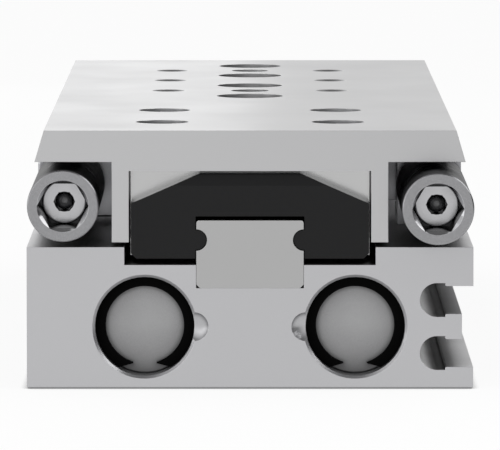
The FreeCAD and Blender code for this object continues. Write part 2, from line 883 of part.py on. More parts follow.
def make_rod_bearing(side):
    # The gland bush; its front counterbore holds the rod seal.
    body = new_body("rod_bearing_" + side, signed(side, "bore_spacing / 2"), "gland_shoulder", "bore_height")
    outer = "(seat_diameter / 2 - seat_gap)"
    inner = "(rod_diameter / 2 + rod_gap)"
    turn_about_y(body, "rod_bearing_profile", [
        ("0", inner),
        ("gland_length - rod_seal_length", inner),
        ("gland_length - rod_seal_length", "rod_seal_diameter / 2"),
        ("gland_length", "rod_seal_diameter / 2"),
        ("gland_length", outer),
        ("0", outer),
    ])
    return body


def make_rod_seal(side):
    start = "gland_shoulder + gland_length - rod_seal_length"
    return ring_body("rod_seal_" + side, signed(side, "bore_spacing / 2"), start,
                     "rod_seal_length - seal_play", "rod_diameter / 2 + rod_gap",
                     "rod_seal_diameter / 2 - seal_play")


def make_slide():
    body = new_body("slide")
    top = "slide_top_width / 2"
    wing = "wing_width / 2"
    extrude_along_y(body, "slide_section", [
        ("-" + top, "slide_top"),
        ("-" + wing, "wing_floor"),
        ("-leg_outer", "wing_floor"),
        ("-leg_outer", "leg_floor"),
        ("-leg_inner", "leg_floor"),
        ("-leg_inner", "carriage_top"),
        ("leg_inner", "carriage_top"),
        ("leg_inner", "leg_floor"),
        ("leg_outer", "leg_floor"),
        ("leg_outer", "wing_floor"),
        (wing, "wing_floor"),
        (top, "slide_top"),
    ], "slide_length")
    extrude_along_y(body, "front_block", [
        ("-leg_inner", "front_block_floor"),
        ("leg_inner", "front_block_floor"),
        ("leg_inner", "carriage_top"),
        ("-leg_inner", "carriage_top"),
    ], "front_block_length", "slide_length - front_block_length")
    cut_top_holes(body)
    cut_slide_sides(body)
    screws = grid(both_sides("yoke_screw_spread / 2"), ["yoke_screw_z"])
    cut_back_along_y(body, "yoke_thread", screws, "screw_thread / 2",
                     "plate_screw_reach + hole_extra_depth", "slide_length")
    dowels = grid(both_sides("dowel_spread / 2"), ["yoke_screw_z"])
    cut_back_along_y(body, "dowel_hole", dowels, "dowel_diameter / 2 + dowel_gap",
                     "dowel_length / 2 + hole_extra_depth", "slide_length")
    return body


def cut_top_holes(body):
    sides = both_sides("hole_grid / 2")
    payload = grid(sides, series("payload_first", "hole_grid", PAYLOAD_ROW_COUNT))
    cut_down(body, "payload_thread", payload, "payload_thread_diameter / 2", None, "slide_top")
    soften_edges(body, "Chamfer", "thread_chamfer", is_circle_at("slide_top", "payload_thread_diameter / 2"))
    cut_down(body, "carriage_screw_hole", carriage_screw_places, "screw_hole / 2", None, "slide_top")
    cut_down(body, "carriage_screw_sink", carriage_screw_places, "low_sink_diameter / 2",
             "low_head_height + screw_head_below", "slide_top")
    centrings = [("0", y) for y in series("payload_first", "2 * hole_grid", 2)]
    cut_down(body, "centring", centrings, "centring_diameter / 2", "centring_depth", "slide_top")
    access = [("0", y) for y in series("access_hole_first", "hole_grid", ACCESS_HOLE_COUNT)]
    cut_down(body, "access_hole", access, "access_diameter / 2", None, "slide_top")


def cut_slide_sides(body):
    # Countersunk holes from inside the legs hold the left carrier and the right stop block.
    for side, start, length in (("left", "carrier_start", "carrier_length"),
                                ("right", "slide_stop_start", "slide_stop_length")):
        spots = [(y, side_screw_z) for y in side_screw_rows(start, length)]
        inner = signed(side, "leg_inner")
        toward_right = SIDES[side] > 0
        cut_along_x(body, "side_hole_" + side, spots, "sunk_screw_thread / 2 + screw_thread_gap",
                    "leg_thickness", inner, toward_right)
        cut_along_x(body, "side_sink_" + side, spots, "sunk_screw_head / 2 + screw_thread_gap",
                    "sunk_screw_taper + sunk_screw_rim + screw_thread_gap", inner, toward_right)


def make_carriage_block():
    body = new_body("carriage_block", y="carriage_start")
    half = "carriage_half"
    channel = "(rail_width / 2 + carriage_side_gap)"
    extrude_along_y(body, "carriage_section", [
        ("-" + half, "carriage_floor"),
        ("-" + channel, "carriage_floor"),
        ("-" + channel, "rail_top + rail_top_gap"),
        (channel, "rail_top + rail_top_gap"),
        (channel, "carriage_floor"),
        (half, "carriage_floor"),
        (half, "carriage_top"),
        ("-" + half, "carriage_top"),
    ], "carriage_length")
    cut_along_y(body, "track", (), grid(both_sides("rail_width / 2"), ["groove_z"]), "ball_groove_radius")
    screws = [(x, y + " - carriage_start") for x, y in carriage_screw_places]
    cut_down(body, "carriage_thread", screws, "screw_thread / 2",
             "carriage_screw_reach + hole_extra_depth", "carriage_top")
    return body


def make_carriage_end_cap(end):
    # Moulded cap with sloped shoulders; tongues fill the rail's ball grooves and wipe them.
    if end == "rear":
        start = "carriage_start - end_cap_length"
        outer_face = ("0", "end_cap_bevel_depth")
    else:
        start = "carriage_start + carriage_length"
        outer_face = ("end_cap_length", "end_cap_length - end_cap_bevel_depth")
    body = new_body("carriage_end_cap_" + end, y=start)
    half = "(carriage_half - end_cap_side_drop)"
    foot = "(carriage_half - end_cap_side_drop - end_cap_foot_chamfer)"
    channel = "(rail_width / 2 + end_cap_rail_gap)"
    shoulder = "carriage_top - end_cap_shoulder_drop"
    top = "carriage_top - end_cap_top_drop"
    extrude_along_y(body, "end_cap_section", [
        ("-" + foot, "carriage_floor"),
        ("-" + channel, "carriage_floor"),
        ("-" + channel, "rail_top + rail_top_gap"),
        (channel, "rail_top + rail_top_gap"),
        (channel, "carriage_floor"),
        (foot, "carriage_floor"),
        (half, "carriage_floor + end_cap_foot_chamfer"),
        (half, shoulder),
        ("end_cap_flat", top),
        ("-end_cap_flat", top),
        ("-" + half, shoulder),
        ("-" + half, "carriage_floor + end_cap_foot_chamfer"),
    ], "end_cap_length")
    sketch = new_sketch(body, "tongues", "XZ")
    draw_circles(sketch, grid(both_sides("rail_width / 2"), ["groove_z"]), "ball_groove_radius - tongue_gap")
    raised(body, "Pad", sketch, "end_cap_length", away=True)
    bevel = new_sketch(body, "face_bevel", "YZ", "-" + half)
    draw_outline(bevel, [
        (outer_face[0], top + " - end_cap_bevel_height"),
        (outer_face[1], top),
        (outer_face[1], top + " + end_cap_bevel_height"),
        (outer_face[0], top + " + end_cap_bevel_height"),
    ])
    raised(body, "Pocket", bevel, "2 * carriage_half", away=True)
    return body


def make_balls(side):
    # The loaded row, thinned out to every second ball.
    ball = doc.addObject("Part::Sphere", "ball_" + side)
    bind(ball, "Radius", "ball_groove_radius - ball_gap")
    rows = series("carriage_start + ball_first", "ball_pitch", BALL_COUNT)
    return group("carriage_balls_" + side, ball,
                 [(signed(side, "rail_width / 2"), y, "groove_z") for y in rows])


def make_carriage_screws():
    under_head = "slide_top - screw_head_below - low_head_height"
    screw = cap_screw("carriage_screw", "screw_thread", "screw_head_diameter", "low_head_height",
                      "screw_socket", "socket_depth - screw_head_below",
                      under_head + " - carriage_top + carriage_screw_reach")
    return group("carriage_screws", screw, [(x, y, under_head) for x, y in carriage_screw_places])


def make_yoke_plate():
    body = new_body("yoke_plate", y="slide_length", z="yoke_floor_gap")
    # Its foot is narrower than its top, so that the sensor slots stay open to the front.
    half = "yoke_half"
    extrude_along_y(body, "yoke_outline", [
        ("-yoke_foot_side", "0"),
        ("yoke_foot_side", "0"),
        ("yoke_foot_side", "yoke_shoulder"),
        (half, "yoke_shoulder"),
        (half, "yoke_height"),
        ("-" + half, "yoke_height"),
        ("-" + half, "yoke_shoulder"),
        ("-yoke_foot_side", "yoke_shoulder"),
    ], "yoke_thickness")
    soften_edges(body, "Fillet", "yoke_corner_radius",
                 lambda edge: edge.BoundBox.XLength < SAME and edge.BoundBox.ZLength < SAME)
    rods = [(x, z + " - yoke_floor_gap") for x, z in rod_axes]
    screws = grid(both_sides("yoke_screw_spread / 2"), ["yoke_screw_z - yoke_floor_gap"])
    dowels = grid(both_sides("dowel_spread / 2"), ["yoke_screw_z - yoke_floor_gap"])
    cut_along_y(body, "yoke_hole", (), rods + screws, "screw_hole / 2")
    cut_along_y(body, "rod_seat", (), rods, "rod_diameter / 2 + rod_gap", "rod_seat_depth")
    cut_along_y(body, "dowel_seat", (), dowels, "dowel_diameter / 2 + dowel_gap",
                "dowel_length / 2 + hole_extra_depth")
    cut_back_along_y(body, "yoke_sink", rods + screws, "screw_sink_diameter / 2",
                     "screw_head_height + screw_head_below", "yoke_thickness")
    rows = ["yoke_thread_height", "yoke_thread_height + yoke_thread_rise"]
    tapped = grid(both_sides("yoke_thread_spread / 2"), rows)
    tapped = [(x, z + " - yoke_floor_gap") for x, z in tapped]
    cut_back_along_y(body, "yoke_front_thread", tapped, "yoke_thread_diameter / 2", "yoke_thread_depth",
                     "yoke_thickness")
    return body


def plate_screw(label, reach):
    # A socket screw along Y, with y = 0 under its head and the head in front.
    body = doc.addObject("PartDesign::Body", label)
    shank = "(screw_thread / 2 - screw_thread_gap)"
    turn_about_y(body, label + "_profile", [
        ("-(%s)" % reach, "0"),
        ("-(%s)" % reach, shank),
        ("0", shank),
        ("0", "screw_head_diameter / 2"),
        ("screw_head_height", "screw_head_diameter / 2"),
        ("screw_head_height", "0"),
    ])
    cut_hexagon(body, label + "_socket", "XZ", "screw_socket", "socket_depth", "-screw_head_height", True)
    return body


def make_front_screws():
    under_head = "slide_length + yoke_thickness - screw_head_below - screw_head_height"
    web = "(yoke_thickness - screw_head_below - screw_head_height)"
    screw = plate_screw("yoke_screw", web + " + plate_screw_reach")
    spots = [(x, under_head, "yoke_screw_z") for x in both_sides("yoke_screw_spread / 2")]
    yoke_screws = group("yoke_screws", screw, spots)
    screw = plate_screw("rod_screw", web + " - rod_seat_depth + plate_screw_reach")
    rod_screws = group("rod_screws", screw, [(x, under_head, z) for x, z in rod_axes])
    return [yoke_screws, rod_screws]


def make_yoke_dowels():
    pin = doc.addObject("PartDesign::Body", "yoke_dowel")
    turn_about_y(pin, "dowel_profile", [
        ("-dowel_length / 2", "0"),
        ("-dowel_length / 2", "dowel_diameter / 2"),
        ("dowel_length / 2", "dowel_diameter / 2"),
        ("dowel_length / 2", "0"),
    ])
    spots = [(x, "slide_length", "yoke_screw_z") for x in both_sides("dowel_spread / 2")]
    return group("yoke_dowels", pin, spots)


def sleeve_start(side):
    return "-sleeve_%s_out" % side


def make_stop_sleeve(side):
    # A round head tube and a thinner threaded end; the rear mouth is conical and then hexagonal.
    body = new_body("stop_sleeve_" + side, signed(side, "stop_x"), sleeve_start(side), "stop_z")
    outer = "sleeve_diameter / 2"
    insert_bore = "(insert_diameter / 2 + sleeve_gap)"
    insert_end = "(insert_depth + insert_length + sleeve_gap)"
    turn_about_y(body, "sleeve_profile", [
        ("0", "sleeve_mouth_diameter / 2"),
        ("0", outer + " - sleeve_edge_chamfer"),
        ("sleeve_edge_chamfer", outer),
        ("sleeve_head_length", outer),
        ("sleeve_head_length", "sleeve_thread_diameter / 2"),
        ("sleeve_length", "sleeve_thread_diameter / 2"),
        ("sleeve_length", "buffer_diameter / 2 + sleeve_gap"),
        ("sleeve_length - buffer_length", "buffer_diameter / 2 + sleeve_gap"),
        ("sleeve_length - buffer_length", "spindle_diameter / 2 + sleeve_gap"),
        (insert_end, "spindle_diameter / 2 + sleeve_gap"),
        (insert_end, insert_bore),
        ("sleeve_mouth_depth", insert_bore),
    ])
    cut_hexagon(body, "sleeve_hex_pocket", "XZ", "sleeve_hex", "sleeve_hex_depth")
    return body


def make_cushion_insert(side):
    # The rounded end with its socket, the body, and the spindle that backs the buffer.
    body = new_body("cushion_insert_" + side, signed(side, "stop_x"), sleeve_start(side) + " + insert_depth",
                    "stop_z")
    spindle_end = "(sleeve_length - buffer_length - insert_depth - sleeve_gap)"
    turn_about_y(body, "insert_profile", [
        ("0", "0"),
        ("0", "insert_diameter / 2 - insert_round"),
        ("insert_round * 0.29", "insert_diameter / 2 - insert_round * 0.29"),
        ("insert_round", "insert_diameter / 2"),
        ("insert_length", "insert_diameter / 2"),
        ("insert_length", "spindle_diameter / 2"),
        (spindle_end, "spindle_diameter / 2"),
        (spindle_end, "0"),
    ])
    cut_hexagon(body, "insert_socket_pocket", "XZ", "insert_socket", "insert_socket_depth")
    bore_along_y(body, "insert_socket_drill", "0", "0", [
        ("0", "0"),
        ("0", "insert_mouth_diameter / 2"),
        ("(insert_mouth_diameter - insert_socket) / 2", "insert_socket / 2"),
        ("insert_socket_depth", "insert_socket / 2"),
        ("insert_socket_depth + insert_tip_length", "0"),
    ])
    return body


def make_buffer(side):
    body = new_body("buffer_" + side, signed(side, "stop_x"),
                    sleeve_start(side) + " + sleeve_length - buffer_length + sleeve_gap", "stop_z")
    turn_about_y(body, "buffer_profile", [
        ("0", "0"),
        ("0", "buffer_diameter / 2"),
        ("buffer_length - sleeve_gap", "buffer_diameter / 2"),
        ("buffer_length - sleeve_gap", "0"),
    ])
    return body


def make_lock_nut(side):
    block_start = {"left": "carrier_start", "right": "holder_start"}[side]
    body = new_body("lock_nut_" + side, signed(side, "stop_x"),
                    "%s - nut_thickness - sleeve_gap" % block_start, "stop_z")
    extrude_along_y(body, "nut_outline", hexagon("nut_across_flats"), "nut_thickness")
    cut_along_y(body, "nut_hole", (), [("0", "0")], "sleeve_thread_diameter / 2 + sleeve_gap")
    return body


def make_stop_carrier_left():
    # Sits in the corner between the slide's wing and leg, and carries the left sleeve.
    body = new_body("stop_carrier_left", y="carrier_start")
    extrude_along_y(body, "carrier_section", [
        ("-carrier_outer_side", "leg_floor"),
        ("-leg_outer", "leg_floor"),
        ("-leg_outer", "wing_floor"),
        ("-carrier_outer_side", "wing_floor"),
    ], "carrier_length")
    cut_along_y(body, "sleeve_hole", (), [("-stop_x", "stop_z")], "sleeve_thread_diameter / 2 + sleeve_gap")
    spots = [(y, side_screw_z) for y in side_screw_rows("0", "carrier_length")]
    cut_along_x(body, "carrier_thread", spots, "sunk_screw_thread / 2", side_thread_depth,
                "-leg_outer", False)
    return body


def make_slide_stop_right():
    # The block on the slide that meets the right sleeve when the slide is back.
    body = new_body("slide_stop_right", y="slide_stop_start")
    extrude_along_y(body, "slide_stop_section", [
        ("leg_outer", "slide_stop_floor"),
        ("holder_outer_side", "slide_stop_floor"),
        ("holder_outer_side", "wing_floor"),
        ("leg_outer", "wing_floor"),
    ], "slide_stop_length")
    spots = [(y, side_screw_z) for y in side_screw_rows("0", "slide_stop_length")]
    cut_along_x(body, "slide_stop_thread", spots, "sunk_screw_thread / 2", side_thread_depth,
                "leg_outer", True)
    return body


def make_side_screws(label, side, start, length):
    screw = sunk_screw(label + "_piece")
    turn = FreeCAD.Rotation(Vector(0, 1, 0), -90 * SIDES[side])
    rows = [(signed(side, "leg_inner"), y, side_screw_z) for y in side_screw_rows(start, length)]
    screws = group(label, screw, rows)
    for copy in screws.Links:
        copy.Placement = FreeCAD.Placement(copy.Placement.Base, turn)
    return screws


def make_stop_holder_right():
    # Stands on the housing and carries the right sleeve; a low foot in front takes its screws.
    body = new_body("stop_holder_right", y="holder_start")
    extrude_along_y(body, "holder_section", [
        ("holder_inner_side", "housing_height"),
        ("holder_outer_side", "housing_height"),
        ("holder_outer_side", "holder_top"),
        ("holder_inner_side", "holder_top"),
    ], "holder_length")
    extrude_along_y(body, "holder_foot", [
        ("holder_inner_side", "housing_height"),
        ("holder_outer_side", "housing_height"),
        ("holder_outer_side", "housing_height + holder_foot_height"),
        ("holder_inner_side", "housing_height + holder_foot_height"),
    ], "holder_foot_length", "holder_length")
    cut_along_y(body, "sleeve_hole", (), [("stop_x", "stop_z")], "sleeve_thread_diameter / 2 + sleeve_gap")
    spots = [(x, holder_screw_y + " - holder_start") for x in holder_screw_x]
    foot_top = "housing_height + holder_foot_height"
    cut_down(body, "holder_hole", spots, "sunk_screw_thread / 2 + screw_thread_gap", "holder_foot_height",
             foot_top)
    cut_down(body, "holder_sink", spots, "sunk_screw_head / 2 + screw_thread_gap",
             "sunk_screw_taper + sunk_screw_rim + screw_thread_gap", foot_top)
    return body


def make_holder_screws():
    screw = sunk_screw("holder_screw")
    top = "housing_height + holder_foot_height"
    return group("holder_screws_right", screw, [(x, holder_screw_y, top) for x in holder_screw_x])


def make_fixed_stop_left():
    # The block on the housing that the left sleeve meets at full stroke.
    body = new_body("fixed_stop_left", y="fixed_stop_start")
    extrude_along_y(body, "fixed_stop_section", [
        ("-holder_outer_side", "housing_height"),
        ("-holder_inner_side", "housing_height"),
        ("-holder_inner_side", "holder_top"),
        ("-holder_outer_side", "holder_top"),
    ], "fixed_stop_length")
    spots = [(fixed_stop_x, y + " - fixed_stop_start") for y in fixed_stop_rows]
    cut_down(body, "stop_hole", spots, "stop_screw_thread / 2 + screw_thread_gap", None, "holder_top")
    cut_down(body, "stop_sink", spots, "stop_screw_head / 2 + screw_thread_gap",
             "stop_screw_head_height + screw_head_below", "holder_top")
    return body


def make_fixed_stop_screws():
    under_head = "holder_top - screw_head_below - stop_screw_head_height"
    screw = cap_screw("fixed_stop_screw", "stop_screw_thread", "stop_screw_head", "stop_screw_head_height",
                      "stop_screw_socket", "socket_depth",
                      under_head + " - housing_height + stop_screw_reach")
    return group("fixed_stop_screws_left", screw, [(fixed_stop_x, y, under_head) for y in fixed_stop_rows])


def build_pieces():
    pieces = [make_housing(), make_guide_rail(), make_rail_screws()]
    for side in SIDES:
        pieces.append(make_end_cap(side))
        pieces.append(make_end_cap_seal(side))
        pieces.append(make_retaining_ring("rear", side))
        pieces.append(make_retaining_ring("front", side))
        pieces.append(make_piston(side))
        pieces.append(make_piston_seals(side))
        pieces.append(make_piston_magnet(side))
        pieces.append(make_piston_rod(side))
        pieces.append(make_rod_bearing(side))
        pieces.append(make_rod_seal(side))
        pieces.append(make_stop_sleeve(side))
        pieces.append(make_cushion_insert(side))
        pieces.append(make_buffer(side))
        pieces.append(make_lock_nut(side))
        pieces.append(make_balls(side))
    pieces += [make_slide(), make_yoke_plate(), make_yoke_dowels()]
    pieces += make_front_screws()
    pieces += [make_carriage_block(), make_carriage_screws()]
    pieces += [make_carriage_end_cap("rear"), make_carriage_end_cap("front")]
    pieces += [make_stop_carrier_left(), make_slide_stop_right()]
    pieces.append(make_side_screws("carrier_screws_left", "left", "carrier_start", "carrier_length"))
    pieces.append(make_side_screws("slide_stop_screws_right", "right", "slide_stop_start",
                                   "slide_stop_length"))
    pieces += [make_stop_holder_right(), make_holder_screws()]
    pieces += [make_fixed_stop_left(), make_fixed_stop_screws()]
    return pieces


def check_document(pieces):
    for item in doc.Objects:
        if "Invalid" in item.State or "Error" in item.State:
            raise RuntimeError("%s did not recompute: %s" % (item.Label, item.State))
        if item.TypeId in ("PartDesign::Pocket", "PartDesign::Groove", "PartDesign::SubtractiveSphere"):
            if item.BaseFeature.Shape.Volume - item.Shape.Volume < LEAST_CUT:
                raise RuntimeError("%s cuts nothing" % item.Label)
    for piece in pieces:
        if piece.Shape.isNull() or not piece.Shape.isValid():
            raise RuntimeError("%s has no valid shape" % piece.Label)


pieces = build_pieces()
doc.recompute()
check_document(pieces)
os.makedirs("parts", exist_ok=True)
for piece in pieces:
    piece.Shape.exportStep("parts/%s.step" % piece.Label)
print("%d pieces written" % len(pieces))
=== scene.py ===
import json
import math

import bmesh
import bpy
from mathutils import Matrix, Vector


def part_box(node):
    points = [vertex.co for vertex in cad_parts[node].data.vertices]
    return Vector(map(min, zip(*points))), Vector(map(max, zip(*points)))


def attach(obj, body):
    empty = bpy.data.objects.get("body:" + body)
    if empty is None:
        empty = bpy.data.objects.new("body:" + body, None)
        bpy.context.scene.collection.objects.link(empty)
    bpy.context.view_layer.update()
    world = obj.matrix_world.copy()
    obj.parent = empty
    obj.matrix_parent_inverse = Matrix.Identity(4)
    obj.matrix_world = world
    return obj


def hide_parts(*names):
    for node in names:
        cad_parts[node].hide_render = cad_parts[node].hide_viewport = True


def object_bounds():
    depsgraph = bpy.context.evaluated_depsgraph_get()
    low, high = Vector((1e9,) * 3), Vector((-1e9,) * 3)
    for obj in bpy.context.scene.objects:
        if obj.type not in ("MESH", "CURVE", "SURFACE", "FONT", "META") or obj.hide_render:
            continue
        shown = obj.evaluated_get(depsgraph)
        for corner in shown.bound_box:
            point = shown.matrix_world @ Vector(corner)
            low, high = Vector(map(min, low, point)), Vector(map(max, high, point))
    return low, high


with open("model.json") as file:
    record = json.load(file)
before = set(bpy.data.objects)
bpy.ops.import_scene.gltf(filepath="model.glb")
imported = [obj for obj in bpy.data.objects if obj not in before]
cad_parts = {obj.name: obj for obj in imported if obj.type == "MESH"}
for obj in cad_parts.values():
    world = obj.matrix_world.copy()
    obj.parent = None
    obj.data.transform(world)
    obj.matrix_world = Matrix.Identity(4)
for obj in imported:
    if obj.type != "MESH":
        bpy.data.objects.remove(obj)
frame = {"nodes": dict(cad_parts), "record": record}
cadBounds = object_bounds()
scene = bpy.context.scene
scene.view_settings.view_transform = "Standard"
print("frame loaded:", len(frame["nodes"]), "nodes")

mm = 0.001
noiseLow, noiseHigh = 0.3, 0.7  # where the values of a noise mostly lie
cavitySamples, edgeSamples = 8, 6  # rays for each look into a cavity or round an edge
wearFrom, wearFull = 0.97, 0.85  # how far the softened normal leaves the face's own, as a cosine


def linearColour(hexText):
    # an sRGB hex value as a linear colour with full alpha
    channels = [int(hexText[i:i + 2], 16) / 255 for i in (0, 2, 4)]
    return [c / 12.92 if c <= 0.04045 else ((c + 0.055) / 1.055) ** 2.4 for c in channels] + [1.0]


def addNode(tree, kind, settings=None, values=None, links=None):
    # settings are the node's own, values go to its input sockets, links come from other nodes' sockets
    node = tree.nodes.new(kind)
    for name, value in (settings or {}).items():
        setattr(node, name, value)
    for socket, value in (values or {}).items():
        node.inputs[socket].default_value = value
    for socket, source in (links or {}).items():
        tree.links.new(source, node.inputs[socket])
    return node


# Finishes

def startFinish(name, look):
    # grazing: the tone in which the finish mirrors at a flat angle
    material = bpy.data.materials.new(name)
    material.use_nodes = True
    tree = material.node_tree
    shader = tree.nodes["Principled BSDF"]
    shader.inputs["Base Color"].default_value = linearColour(look["colour"])
    shader.inputs["Metallic"].default_value = look["metallic"]
    shader.inputs["Roughness"].default_value = look["roughness"]
    shader.inputs["Specular IOR Level"].default_value = look.get("specular", 0.5)
    shader.inputs["Specular Tint"].default_value = linearColour(look.get("grazing", "ffffff"))
    return material, tree, shader


def paintedCavityShade(tree, look):
    # painted shade: in narrow places, where little light gets in, the base colour falls from 1 to the look's
    # shade value
    cavity = addNode(tree, "ShaderNodeAmbientOcclusion",
                     {"samples": cavitySamples, "only_local": look.get("ownCavities", False)},
                     {"Distance": look["cavityMm"] * mm})
    return addNode(tree, "ShaderNodeMapRange", {},
                   {"From Min": look["cavityFrom"], "From Max": look["cavityTo"],
                    "To Min": look["paintedCavityShade"], "To Max": 1.0}, {"Value": cavity.outputs["AO"]})


def machinedFinish(name, look):
    # a machined metal: even grain, long tool lines in one direction, softened edges that wear bright
    material, tree, shader = startFinish(name, look)
    place = addNode(tree, "ShaderNodeTexCoord").outputs["Object"]
    grain = addNode(tree, "ShaderNodeTexNoise", {},
                    {"Scale": 1 / (look["grainMm"] * mm), "Detail": 3.0, "Roughness": 0.6},
                    {"Vector": place})
    along = look["linesAlong"]
    stretch = [1 / (look["lineMm"] * mm)] * 3
    stretch["XYZ".index(along)] /= look["lineRun"]
    lineSpace = addNode(tree, "ShaderNodeMapping", {}, {"Scale": stretch}, {"Vector": place})
    lines = addNode(tree, "ShaderNodeTexNoise", {}, {"Scale": 1.0, "Detail": 2.0, "Roughness": 0.5},
                    {"Vector": lineSpace.outputs["Vector"]})
    edge = addNode(tree, "ShaderNodeBevel", {"samples": edgeSamples}, {"Radius": look["edgeMm"] * mm})
    grainBump = addNode(tree, "ShaderNodeBump", {},
                        {"Strength": 1.0, "Distance": look["grainHeightMm"] * mm},
                        {"Height": grain.outputs["Fac"], "Normal": edge.outputs["Normal"]})
    lineBump = addNode(tree, "ShaderNodeBump", {},
                       {"Strength": 1.0, "Distance": look["lineHeightMm"] * mm},
                       {"Height": lines.outputs["Fac"], "Normal": grainBump.outputs["Normal"]})
    tree.links.new(lineBump.outputs["Normal"], shader.inputs["Normal"])
    cloud = addNode(tree, "ShaderNodeTexNoise", {},
                    {"Scale": 1 / (look["cloudMm"] * mm), "Detail": 2.0}, {"Vector": place})
    spread = look["roughnessSpread"]
    gloss = addNode(tree, "ShaderNodeMapRange", {},
                    {"From Min": noiseLow, "From Max": noiseHigh, "To Min": look["roughness"] - spread,
                     "To Max": look["roughness"] + spread}, {"Value": cloud.outputs["Fac"]})
    tree.links.new(gloss.outputs["Result"], shader.inputs["Roughness"])
    flat = addNode(tree, "ShaderNodeNewGeometry")
    corner = addNode(tree, "ShaderNodeVectorMath", {"operation": "DOT_PRODUCT"}, {},
                     {0: edge.outputs["Normal"], 1: flat.outputs["Normal"]})
    worn = addNode(tree, "ShaderNodeMapRange", {},
                   {"From Min": wearFrom, "From Max": wearFull, "To Min": 0.0, "To Max": look["wear"]},
                   {"Value": corner.outputs["Value"]})
    speck = addNode(tree, "ShaderNodeMapRange", {},
                    {"From Min": noiseLow, "From Max": noiseHigh, "To Min": 1 - look["toneSpread"],
                     "To Max": 1 + look["toneSpread"]}, {"Value": grain.outputs["Fac"]})
    base = addNode(tree, "ShaderNodeMix", {"data_type": "RGBA"},
                   {6: linearColour(look["colour"]), 7: linearColour(look["edgeColour"])},
                   {0: worn.outputs["Result"]})
    # the base colour: random speckle times painted shade in narrow places
    level = addNode(tree, "ShaderNodeMath", {"operation": "MULTIPLY"}, {},
                    {0: speck.outputs["Result"], 1: paintedCavityShade(tree, look).outputs["Result"]})
    tone = addNode(tree, "ShaderNodeVectorMath", {"operation": "SCALE"}, {},
                   {0: base.outputs[2], "Scale": level.outputs["Value"]})
    tree.links.new(tone.outputs["Vector"], shader.inputs["Base Color"])
    return material


def mouldedFinish(name, look):
    # a moulded or dipped surface: fine even texture, soft edges
    material, tree, shader = startFinish(name, look)
    place = addNode(tree, "ShaderNodeTexCoord").outputs["Object"]
    grain = addNode(tree, "ShaderNodeTexNoise", {},
                    {"Scale": 1 / (look["grainMm"] * mm), "Detail": 3.0}, {"Vector": place})
    edge = addNode(tree, "ShaderNodeBevel", {"samples": edgeSamples}, {"Radius": look["edgeMm"] * mm})
    bump = addNode(tree, "ShaderNodeBump", {}, {"Strength": 1.0, "Distance": look["grainHeightMm"] * mm},
                   {"Height": grain.outputs["Fac"], "Normal": edge.outputs["Normal"]})
    tree.links.new(bump.outputs["Normal"], shader.inputs["Normal"])
    spread = look["roughnessSpread"]
    gloss = addNode(tree, "ShaderNodeMapRange", {},
                    {"From Min": noiseLow, "From Max": noiseHigh, "To Min": look["roughness"] - spread,
                     "To Max": look["roughness"] + spread}, {"Value": grain.outputs["Fac"]})
    tree.links.new(gloss.outputs["Result"], shader.inputs["Roughness"])
    # the base colour, darkened by painted shade in narrow places
    tone = addNode(tree, "ShaderNodeVectorMath", {"operation": "SCALE"},
                   {0: linearColour(look["colour"])[:3]},
                   {"Scale": paintedCavityShade(tree, look).outputs["Result"]})
    tree.links.new(tone.outputs["Vector"], shader.inputs["Base Color"])
    return material


# Sizes are in mm. Grain and tool lines are drawn as coarse as a close view needs; the real ones are finer.
# lineRun is how many times longer than wide a tool line is, and edgeMm how far an edge is softened. The
# cavity entries set the painted shade in narrow places.

anodisedHousing = {  # satin anodised aluminium, extruded: an even soft sheen with faint die lines along it
    "colour": "bababc", "edgeColour": "d0d0d2", "metallic": 1.0, "roughness": 0.34,
    "roughnessSpread": 0.02, "toneSpread": 0.02, "grainMm": 0.14, "grainHeightMm": 0.002,
    "lineMm": 0.35, "lineRun": 120, "linesAlong": "Y", "lineHeightMm": 0.002, "cloudMm": 14,
    "edgeMm": 0.12, "wear": 0.5, "ownCavities": True, "cavityMm": 7, "cavityFrom": 0.25, "cavityTo": 0.95,
    "paintedCavityShade": 0.1}
anodisedSlide = {  # satin anodised aluminium, milled: a little finer and lighter than the extrusion
    "colour": "bababb", "edgeColour": "d2d2d2", "metallic": 1.0, "roughness": 0.3,
    "roughnessSpread": 0.02, "toneSpread": 0.015, "grainMm": 0.12, "grainHeightMm": 0.0015,
    "lineMm": 0.3, "lineRun": 90, "linesAlong": "X", "lineHeightMm": 0.0015, "cloudMm": 18,
    "edgeMm": 0.12, "wear": 0.5, "ownCavities": True, "cavityMm": 6, "cavityFrom": 0.15, "cavityTo": 0.6,
    "paintedCavityShade": 0.2}
blastedCap = {  # bead-blasted aluminium: dull, and darkened by painted shade towards the walls round the cap, which shows how deep it sits
    "colour": "c0c0c1", "edgeColour": "cccccc", "metallic": 1.0, "roughness": 0.6,
    "roughnessSpread": 0.03, "toneSpread": 0.03, "grainMm": 0.1, "grainHeightMm": 0.004,
    "lineMm": 0.3, "lineRun": 4, "linesAlong": "Y", "lineHeightMm": 0.001, "cloudMm": 6,
    "edgeMm": 0.1, "wear": 0.3, "cavityMm": 12, "cavityFrom": 0.55, "cavityTo": 1.0, "paintedCavityShade": 0.35}
groundSteel = {  # ground bearing steel: slightly darker, with long grinding lines
    "colour": "aeaeae", "edgeColour": "c8c8c8", "metallic": 1.0, "roughness": 0.3,
    "roughnessSpread": 0.03, "toneSpread": 0.02, "grainMm": 0.1, "grainHeightMm": 0.001,
    "lineMm": 0.12, "lineRun": 200, "linesAlong": "Y", "lineHeightMm": 0.002, "cloudMm": 9,
    "edgeMm": 0.1, "wear": 0.4, "cavityMm": 4, "cavityFrom": 0.2, "cavityTo": 0.8, "paintedCavityShade": 0.3}
carriageSteel = dict(  # finer ground: it shines up to its edges
    groundSteel, colour="bababa", roughness=0.14, paintedCavityShade=1.0)
